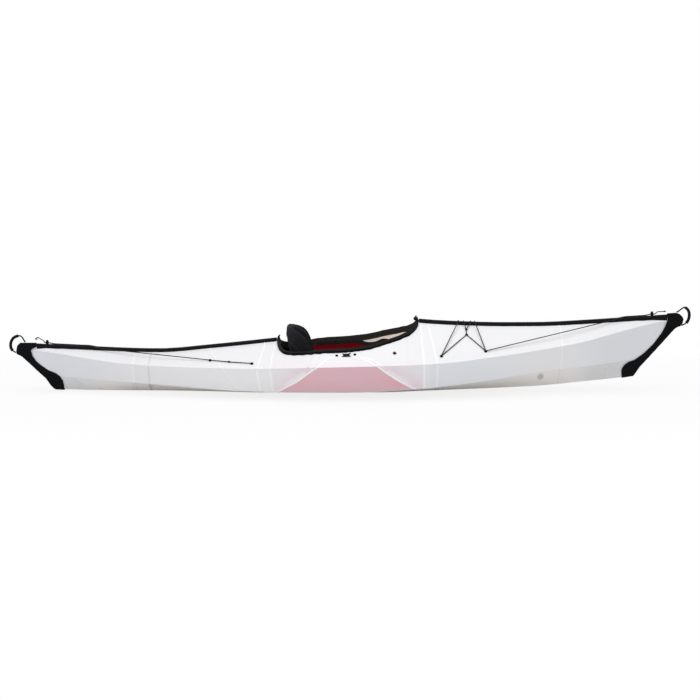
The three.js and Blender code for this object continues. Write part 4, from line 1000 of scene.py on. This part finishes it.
def foam_sleeve():
    """Foam tube over the footrest bar, with soft ends and a slit along its back."""
    low, high = (Vector(corner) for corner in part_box("footrest_sleeve"))
    centre = (low + high) / 2
    half = [(SLEEVE_BORE, 1.0)] + [(SLEEVE_RADIUS - inside, share) for inside, share in SLEEVE_END]
    middle = [(SLEEVE_RADIUS - SLEEVE_WAIST, 0)]
    mesh = bmesh.new()
    rows = []
    for radius, share in [(radius, -share) for radius, share in half] + middle + half[::-1]:
        ring = []
        for k in range(SLEEVE_SIDES):
            turn = tau * k / SLEEVE_SIDES
            reach = radius - (SLEEVE_SLIT if radius > SLEEVE_BORE and k == 0 else 0)
            offset = Vector((-cos(turn) * reach, share * SLEEVE_HALF, sin(turn) * reach))
            ring.append(mesh.verts.new(centre + offset))
        rows.append(ring)
    join_rows(mesh, rows + rows[:1])
    made = piece_from("foam_sleeve", mesh, "foam", "footrest", "foam", "footrest_sleeve")


# Cushions

SIM_FRAMES = 20
COVER = {
    "quality": 5, "mass": 0.3, "tension_stiffness": 25, "compression_stiffness": 25, "use_pressure": True,
    "uniform_pressure_force": 4,
}


def inflate(made, voxel, cap):
    """Swells a closed form like a filled cover, each point by no more than a cap, and smooths it."""
    modify(made, "REMESH", mode="VOXEL", voxel_size=voxel)
    apply_modifiers(made)
    before = [v.co.copy() for v in made.data.vertices]
    cover = modify(made, "CLOTH")
    assign(cover.settings, COVER)
    cover.settings.effector_weights.gravity = 0
    cover.point_cache.frame_end = SIM_FRAMES
    for step in range(1, SIM_FRAMES + 1):
        scene.frame_set(step)
    apply_modifiers(made)
    scene.frame_set(1)
    for vert, start in zip(made.data.vertices, before):
        move = vert.co - start
        if move.length > cap:
            vert.co = start + move * (cap / move.length)
    modify(made, "SUBSURF", levels=1, render_levels=1)
    apply_modifiers(made)
    made.data.materials.clear()
    made.data.materials.append(materials["cushion"])
    smooth(made.data)


# Shares of half a cushion's length or height
CHANNELS = (-0.5, 0.0, 0.5)


def groove(place, width):
    """1 along a sewn channel, falling off to both sides."""
    near = min(abs(place - c) for c in CHANNELS)
    return exp(-((near / width) ** 2))


PAD_MIDDLE_X = -0.0947
PAD_HALF_LENGTH = 0.154
PAD_HALF_WIDTH = 0.148
PAD_BOTTOM = 0.0463
PAD_RISE = 0.034
# Rings of the pad from the middle of its bottom over its edge to the middle of its top: share, level
PAD_RINGS = [
    (0, 0.04), (0.5, 0.04), (0.93, 0.04), (0.98, 0.18), (0.98, 0.45), (0.93, 0.62), (0.5, 0.72), (0, 0.74),
]
PAD_SIDES = 48
PIPING_UNIT = 10 * MM


def pad_ring(share, level, shrink):
    """Ring of the seat pad at a height level, from 0 at its bottom to 1 at its top."""
    ring = []
    for k in range(PAD_SIDES):
        turn = tau * k / PAD_SIDES
        c, s = cos(turn), sin(turn)
        corner = (abs(c) ** 5 + abs(s) ** 5) ** (-1 / 5)
        ring.append(Vector((
            PAD_MIDDLE_X + c * corner * (PAD_HALF_LENGTH - shrink) * share,
            s * corner * (PAD_HALF_WIDTH - shrink) * share,
            PAD_BOTTOM + level * PAD_RISE,
        )))
    return ring


def tree_of(made):
    return BVHTree.FromObject(made, bpy.context.evaluated_depsgraph_get())


def hug(made, route, lift):
    """Moves a route onto the skin of a cushion."""
    tree = tree_of(made)
    moved = []
    for here in route:
        place, normal, _, _ = tree.find_nearest(here)
        moved.append(place + normal * lift)
    return moved


def pad_form():
    mesh = bmesh.new()
    rows = []
    for share, level in PAD_RINGS:
        ring = pad_ring(share, level, 3 * MM)
        rows.append([mesh.verts.new(p) for p in (ring if share else ring[:1])])
    join_rows(mesh, rows)
    return mesh


def seat_cushion():
    made = piece_from("seat_cushion", pad_form(), "cushion", "hull", "cushion", "seat_pad")
    inflate(made, 6 * MM, 9 * MM)
    for vert in made.data.vertices:
        place = (vert.co.x - PAD_MIDDLE_X) / PAD_HALF_LENGTH
        above = max(0.0, (vert.co.z - PAD_BOTTOM) / PAD_RISE - 0.4)
        vert.co.z -= 7 * MM * groove(place, 0.055) * min(1.0, above * 2.5)
        vert.co.z = max(vert.co.z, PAD_BOTTOM)
    route = hug(made, pad_ring(1.0, 0.36, 0), 0.6 * MM)
    look = ("piping", "hull", "cushion")
    swept_piece("seat_piping", look, route, circle(2.4 * MM, 8), PIPING_UNIT, lambda p: UP, closed=True)


BACK_TURN = radians(72)
BACK_RADIUS = 0.157
BACK_LEAN = 0.080
BACK_BOTTOM = 0.0848
BACK_TOP = 0.378
BACK_FLAT = 14 * MM * 0.74
BACK_EDGE = 3 * MM
WING_TOP_DROP = 0.042
WING_END_DROP = 0.050
WING_BOTTOM_RISE = 0.096


def depth_below(height):
    """0 at the top of the backrest, 1 at its bottom."""
    return 1 - (height - BACK_BOTTOM) / (BACK_TOP - BACK_BOTTOM)


def back_lean(below):
    return BACK_LEAN * (1 - below ** 2)


def fullness(share, power):
    """1 in the middle, falling to 0 at a share of 1, the steeper the higher the power."""
    return sqrt(max(0.0, 1 - abs(share) ** power))


def back_place(u, v, out):
    """Point of the backrest: u from wing to wing, v from bottom to top, out from its middle skin."""
    turn = BACK_TURN * u
    reach = min(abs(u), 1.0)
    top = BACK_TOP - WING_TOP_DROP * reach ** 1.8 - WING_END_DROP * (1 - fullness(reach, 8))
    bottom = BACK_BOTTOM + WING_BOTTOM_RISE * reach ** 1.5
    height = bottom + (top - bottom) * (v + 1) / 2
    radius = BACK_RADIUS + out
    x = HINGE_X + BACK_RADIUS - radius * cos(turn) - back_lean(depth_below(height))
    return Vector((x, radius * sin(turn), height))


def back_thickness(u, v):
    return BACK_EDGE + (BACK_FLAT - BACK_EDGE) * fullness(u, 8) * fullness(v, 4)


def back_axis(point):
    """Where the backrest's upright axis stands at a point's height."""
    lean = back_lean(max(0.0, min(1.0, depth_below(point.z))))
    return Vector((HINGE_X + BACK_RADIUS - lean, 0, point.z))


def back_shares(point):
    """The u and v of a point near the backrest, and its distance out from the middle skin."""
    axis = back_axis(point)
    away = Vector((axis.x - point.x, point.y))
    u = max(-1.0, min(1.0, atan2(away.y, away.x) / BACK_TURN))
    bottom = back_place(u, -1, 0).z
    top = back_place(u, 1, 0).z
    v = 2 * (point.z - bottom) / max(top - bottom, 1e-6) - 1
    return u, v, away.length - BACK_RADIUS


def back_form():
    mesh = bmesh.new()
    steps_u, steps_v = 44, 18
    spread = [-cos(pi * i / steps_u) for i in range(steps_u + 1)]
    rise = [-cos(pi * j / steps_v) for j in range(steps_v + 1)]

    def skin(side):
        return [[
            mesh.verts.new(back_place(u * 1.03, v * 1.03, side * back_thickness(u, v))) for v in rise
        ] for u in spread]

    inner, outer = skin(-1), skin(1)
    for i in range(steps_u):
        for j in range(steps_v):
            mesh.faces.new((inner[i][j], inner[i][j + 1], inner[i + 1][j + 1], inner[i + 1][j]))
            mesh.faces.new((outer[i][j], outer[i + 1][j], outer[i + 1][j + 1], outer[i][j + 1]))
        for j in (0, steps_v):
            mesh.faces.new((inner[i][j], inner[i + 1][j], outer[i + 1][j], outer[i][j]))
    for j in range(steps_v):
        for i in (0, steps_u):
            mesh.faces.new((inner[i][j], inner[i][j + 1], outer[i][j + 1], outer[i][j]))
    return mesh


def back_edge_route():
    """All round the backrest's edge."""
    spread = [sin(pi / 2 * (i / 20 - 1)) for i in range(41)]
    top = [back_place(u, 1, 0) for u in spread]
    fore = [back_place(1, v, 0) for v in (0.6, 0.2, -0.2, -0.6)]
    bottom = [back_place(u, -1, 0) for u in reversed(spread)]
    aft = [back_place(-1, v, 0) for v in (-0.6, -0.2, 0.2, 0.6)]
    return top + fore + bottom + aft


WING_STRAP_ROUTE = [(-0.10, 0.72), (-0.30, 0.50), (-0.52, 0.24), (-0.72, 0.0), (-0.90, -0.25)]
WING_SEAM_ROUTE = [(-0.16, 0.93), (-0.38, 0.70), (-0.60, 0.42), (-0.80, 0.14), (-0.95, -0.10)]


def backrest_cushion():
    made = piece_from("backrest_cushion", back_form(), "cushion", "backrest", "cushion", "backrest_pad")
    inflate(made, 5 * MM, 4.5 * MM)
    for vert in made.data.vertices:
        u, v, out = back_shares(vert.co)
        depth = 3.5 * MM * groove(v, 0.07) * min(1.0, abs(out) / (6 * MM))
        depth *= max(0.0, 1 - abs(u) ** 6) * (1.0 if out < 0 else 0.35)
        axis = back_axis(vert.co)
        away = Vector((vert.co.x - axis.x, vert.co.y, 0)).normalized()
        vert.co -= away * (depth * (1 if out > 0 else -1))
    route = hug(made, back_edge_route(), 0.4 * MM)
    outward = lambda p: Vector((p.x - back_axis(p).x, p.y, 0))
    look = ("piping", "backrest", "cushion")
    swept_piece("backrest_piping", look, route, circle(2.6 * MM, 8), PIPING_UNIT, outward, closed=True)
    return made


def on_back(tree, u, v, lift):
    """Point on the outer face of the finished backrest, lifted off it."""
    start = back_place(u, v, 0.06)
    axis = back_axis(start)
    inward = Vector((axis.x - start.x, -start.y, 0)).normalized()
    hit, normal, _, _ = tree.ray_cast(start, inward)
    return hit + normal * lift, normal


WING_STRAP_WIDTH = 22 * MM
WING_STRAP_STEPS = 22


def back_straps(cushion):
    """Webbing sewn diagonally to the back of both wings, with a piped seam above it."""
    tree = tree_of(cushion)
    straps = bmesh.new()
    seams = bmesh.new()

    def laid(side, shares, steps, lift):
        return [on_back(tree, -side * s.x, s.y, lift) for s in spline([(u, v, 0) for u, v in shares], steps)]

    for side in SIDES.values():
        route, normals = zip(*laid(side, WING_STRAP_ROUTE, WING_STRAP_STEPS, 1.4 * MM))
        ahead = route[1:] + route[-1:]
        behind = route[:1] + route[:-1]
        aside = {
            tuple(p): normal.cross((after - before).normalized())
            for p, normal, before, after in zip(route, normals, behind, ahead)
        }
        section = strip_section(WING_STRAP_WIDTH, 2 * MM)
        sweep(straps, route, section, WING_STRAP_WIDTH, lambda p: aside[tuple(p)])
        seam = [place for place, _ in laid(side, WING_SEAM_ROUTE, 26, 0.8 * MM)]
        sweep(seams, seam, circle(2 * MM, 8), PIPING_UNIT)
    piece_from("backrest_webbing", straps, "webbing", "backrest", "webbing")
    piece_from("backrest_seams", seams, "piping", "backrest", "cushion")


# Creases: strips on the sheet's outer face along each fold, whitened where the sheet is bent, with painted
# highlights and painted shade beside the bends

# Folds of the CAD sheet that run straight, each from the keel edge over the chine and gunwale to the
# ridge, where only x and z are given
RIDGE_Y = 0.0055
STRAIGHT_FOLDS = [
    [(-1.2005, 0.0173, 0.0086), (-1.2005, 0.1172, 0.0724), (-1.2005, 0.1642, 0.1821), (-1.2005, 0.2274)],
    [(-1.1109, 0.0195, 0.0085), (-1.1109, 0.1368, 0.0692), (-1.1109, 0.1841, 0.1799), (-1.1109, 0.2255)],
    [(-0.5601, 0.0348, 0.0008), (-0.6049, 0.2254, 0.0451), (-0.6983, 0.2635, 0.1787), (-0.7879, 0.2475)],
    [(-0.4892, 0.0359, 0), (-0.4923, 0.2356, 0.0425), (-0.5078, 0.2879, 0.181), (-0.4696, 0.2807)],
    [(-0.4201, 0.0359, 0), (-0.4219, 0.2409, 0.0412), (-0.435, 0.2966, 0.1831), (-0.4154, 0.2865)],
    [(0.4107, 0.0341, 0.0089), (0.4117, 0.2325, 0.0602), (0.4098, 0.2939, 0.2052), (0.3967, 0.3928)],
    [(0.4836, 0.0328, 0.0115), (0.4826, 0.2244, 0.0657), (0.4826, 0.2852, 0.208), (0.4384, 0.3893)],
    [(1.179, 0.0161, 0.0452), (1.179, 0.0981, 0.1453), (1.179, 0.141, 0.2814), (1.179, 0.3792)],
]
# How strongly each fold shows, and the index of the one that shows as a painted shadow line instead of a
# white one
FOLD_STRENGTHS = [0.5, 0.6, 0.35, 0.85, 0.8, 0.9, 0.8, 0.5]
SHADED_FOLD = 1

# Curved creases that frame the middle panel: on the side from chine to gunwale, then over the deck
SIDE_CREASES = [
    [
        (-0.3985, 0.243, 0.042), (-0.3381, 0.2608, 0.0785), (-0.3015, 0.2709, 0.0989),
        (-0.2621, 0.2849, 0.1284), (-0.231, 0.2966, 0.1535), (-0.2029, 0.3062, 0.1753),
        (-0.177, 0.3145, 0.1915),
    ],
    [
        (0.367, 0.2362, 0.059), (0.3235, 0.2496, 0.0819), (0.2835, 0.2622, 0.1045), (0.2442, 0.2758, 0.1295),
        (0.2104, 0.2891, 0.1548), (0.1822, 0.2999, 0.1769), (0.154, 0.312, 0.1975),
    ],
]
DECK_CREASES = [
    [(-0.177, 0.314, 0.1925), (-0.15, 0.285, 0.21), (-0.118, 0.256, 0.229), (-0.0442, 0.2304, 0.2494)],
    [(0.154, 0.311, 0.199), (0.1319, 0.2989, 0.2078), (0.1015, 0.2793, 0.2215), (0.0594, 0.2621, 0.2323),
     (0.015, 0.248, 0.239)],
    [(0.1706, 0.3059, 0.2036), (0.1321, 0.2766, 0.2238), (0.0874, 0.2598, 0.2346), (0.03, 0.238, 0.247)],
]
BOTTOM_CREASES = [
    [(-0.3995, 0.0359, 0), (-0.3995, 0.2424, 0.0409)],
    [(0.3697, 0.0346, 0.0073), (0.3678, 0.2357, 0.0573)],
]

# Across a crease, in millimetres toward the middle of the boat: place, whiteness (crease whitening, with a
# painted highlight beside it), painted shade
LINE_PROFILE = [
    (-12, 0, 0), (-6, 0.25, 0), (-3.2, 0.4, 0), (-2.4, 1, 0), (2.4, 1, 0), (3.2, 0.4, 0), (6, 0.25, 0),
    (12, 0, 0),
]
FRAME_PROFILE = [
    (-40, 0, 0), (-26, 0.22, 0), (-14, 0.48, 0), (-7, 0.5, 0.02), (-5.2, 0.3, 0.15), (-4.4, 0.6, 0.06),
    (-3.6, 1, 0), (4.4, 1, 0), (5.2, 0.3, 0.12), (8, 0, 0.10), (12, 0, 0),
]
DECK_PROFILE = [
    (-9, 0, 0), (-6, 0.35, 0), (-3, 0.95, 0), (3, 1, 0), (4.5, 0.5, 0.10), (6, 0.1, 0.16), (9, 0, 0),
]
# A fold that shows only as a painted shade line
SHADED_PROFILE = [(-8, 0, 0), (-3.5, 0, 0.5), (3.5, 0, 0.5), (8, 0, 0)]
CREASE_STEP = 12 * MM
CREASE_LIFT = 0.35 * MM
# The outer part of a frame's profile, a painted highlight from this far out, fades toward the ends of its
# strip
FRAME_GLOW = 4.4


def crease_strip(mesh, layer, tree, points, profile, strength=1.0, lift=CREASE_LIFT):
    total = lengths([Vector(p) for p in points])[-1]
    route = spline(points, max(4, int(total / CREASE_STEP)))
    rows = []
    for i, here in enumerate(route):
        before, after = route[max(i - 1, 0)], route[min(i + 1, len(route) - 1)]
        along = (after - before).normalized()
        share = i / (len(route) - 1)
        glow = min(1, 5 * share * (1 - share))
        place, normal, _, _ = tree.find_nearest(here)
        aside = normal.cross(along).normalized()
        if aside.x * -here.x < 0:
            aside.negate()
        row = []
        for offset, white, shade in profile:
            spot, facing, _, _ = tree.find_nearest(place + aside * (offset * MM))
            vert = mesh.verts.new(spot + facing * lift)
            amount = strength * (glow if abs(offset) > FRAME_GLOW and profile is FRAME_PROFILE else 1)
            # Whiteness is crease whitening with a painted highlight; shade is painted shade
            vert[layer] = (white * amount, shade * amount, 0, 1)
            row.append(vert)
        rows.append(row)
    join_rows(mesh, rows, around=False)


def make_creases():
    hull = welded("hull_sheet")
    tree = BVHTree.FromBMesh(hull)
    hull.free()
    mesh = bmesh.new()
    layer = mesh.verts.layers.float_color.new("crease")
    for k, (fold, strength) in enumerate(zip(STRAIGHT_FOLDS, FOLD_STRENGTHS)):
        profile = SHADED_PROFILE if k == SHADED_FOLD else LINE_PROFILE
        *fold, (ridge_x, ridge_z) = fold
        fold.append((ridge_x, RIDGE_Y, ridge_z))
        for start, end in zip(fold, fold[1:]):
            crease_strip(mesh, layer, tree, [start, end], profile, strength)
    for route in SIDE_CREASES:
        crease_strip(mesh, layer, tree, route, FRAME_PROFILE)
    for k, route in enumerate(DECK_CREASES):
        crease_strip(mesh, layer, tree, route, DECK_PROFILE, 0.8, CREASE_LIFT * (1 + k / 2))
    for route in BOTTOM_CREASES:
        crease_strip(mesh, layer, tree, route, LINE_PROFILE)
    copied = bmesh.ops.duplicate(mesh, geom=mesh.verts[:] + mesh.edges[:] + mesh.faces[:])["geom"]
    for item in copied:
        if isinstance(item, bmesh.types.BMVert):
            item.co.y = -item.co.y
    piece_from("sheet_creases", mesh, "creased_sheet", "hull", "hull_sheet")


# Studio

FLOOR_REACH = 60
FLOOR_COLOUR = (0.86, 0.86, 0.86, 1)
WHITE = (1, 1, 1, 1)
# The floor turns white from the first distance to the second, which count less along the boat
FADE = (0.35, 1.6)
FADE_SCALE = (0.45, 1, 1)
FADE_START = 0.80
# Place, size and power
LAMPS = {
    "overhead": ((0, -0.6, 3.6), (5.0, 2.6), 77),
    "front": ((-1.2, -5.5, 2.2), (5.0, 2.2), 52),
}
LAMP_TARGET = Vector((0, 0, 0.2))
WORLD_STRENGTH = 0.56


def floor_material():
    """Pale floor that takes the shadow and fades to white away from the object."""
    graph = Graph(bpy.data.materials.new("floor"))
    graph.tree.nodes.clear()
    place = graph.add("ShaderNodeTexCoord").outputs["Object"]
    flat = graph.add("ShaderNodeMapping", {"Vector": place, "Scale": FADE_SCALE}).outputs[0]
    length = graph.add("ShaderNodeVectorMath", {0: flat}, operation="LENGTH").outputs["Value"]
    seen = graph.add("ShaderNodeLightPath").outputs["Is Camera Ray"]
    fade = Term(graph, length).line(*FADE, FADE_START, 1.0) * seen
    plain = graph.add("ShaderNodeBsdfDiffuse", {"Color": FLOOR_COLOUR}).outputs[0]
    white = graph.add("ShaderNodeEmission", {"Color": WHITE}).outputs[0]
    mix = graph.add("ShaderNodeMixShader", {0: fade, 1: plain, 2: white}).outputs[0]
    graph.add("ShaderNodeOutputMaterial", {"Surface": mix})
    return graph.owner


def make_floor():
    mesh = bmesh.new()
    bmesh.ops.create_grid(mesh, x_segments=1, y_segments=1, size=FLOOR_REACH)
    data = bpy.data.meshes.new("floor")
    mesh.to_mesh(data)
    mesh.free()
    data.materials.append(floor_material())
    placed("floor", data)


def make_world():
    """Even light all round, and plain white where the camera or a reflection looks past the object."""
    graph = Graph(bpy.data.worlds.new("studio"))
    path = graph.add("ShaderNodeLightPath").outputs
    seen = graph.math("MAXIMUM", path["Is Camera Ray"], path["Is Glossy Ray"])
    seen = graph.math("MAXIMUM", seen, path["Is Transmission Ray"])
    background = graph.tree.nodes["Background"].inputs
    background["Color"].default_value = WHITE
    graph.put(background["Strength"], seen.line(0, 1, WORLD_STRENGTH, 1.0))
    scene.world = graph.owner


def make_lamps():
    for name, (place, size, power) in LAMPS.items():
        data = bpy.data.lights.new(name, "AREA")
        data.shape = "RECTANGLE"
        data.size, data.size_y = size
        data.energy = power
        lamp = placed(name, data)
        lamp.location = place
        lamp.rotation_euler = (LAMP_TARGET - lamp.location).to_track_quat("-Z", "Y").to_euler()


scene.view_settings.view_transform = "Standard"
make_camera()
materials = make_materials()
make_cords()
dress_rigid_pieces()
make_straps()
seat_foam()
foam_sleeve()
seat_cushion()
back_straps(backrest_cushion())
make_creases()
make_floor()
make_world()
make_lamps()
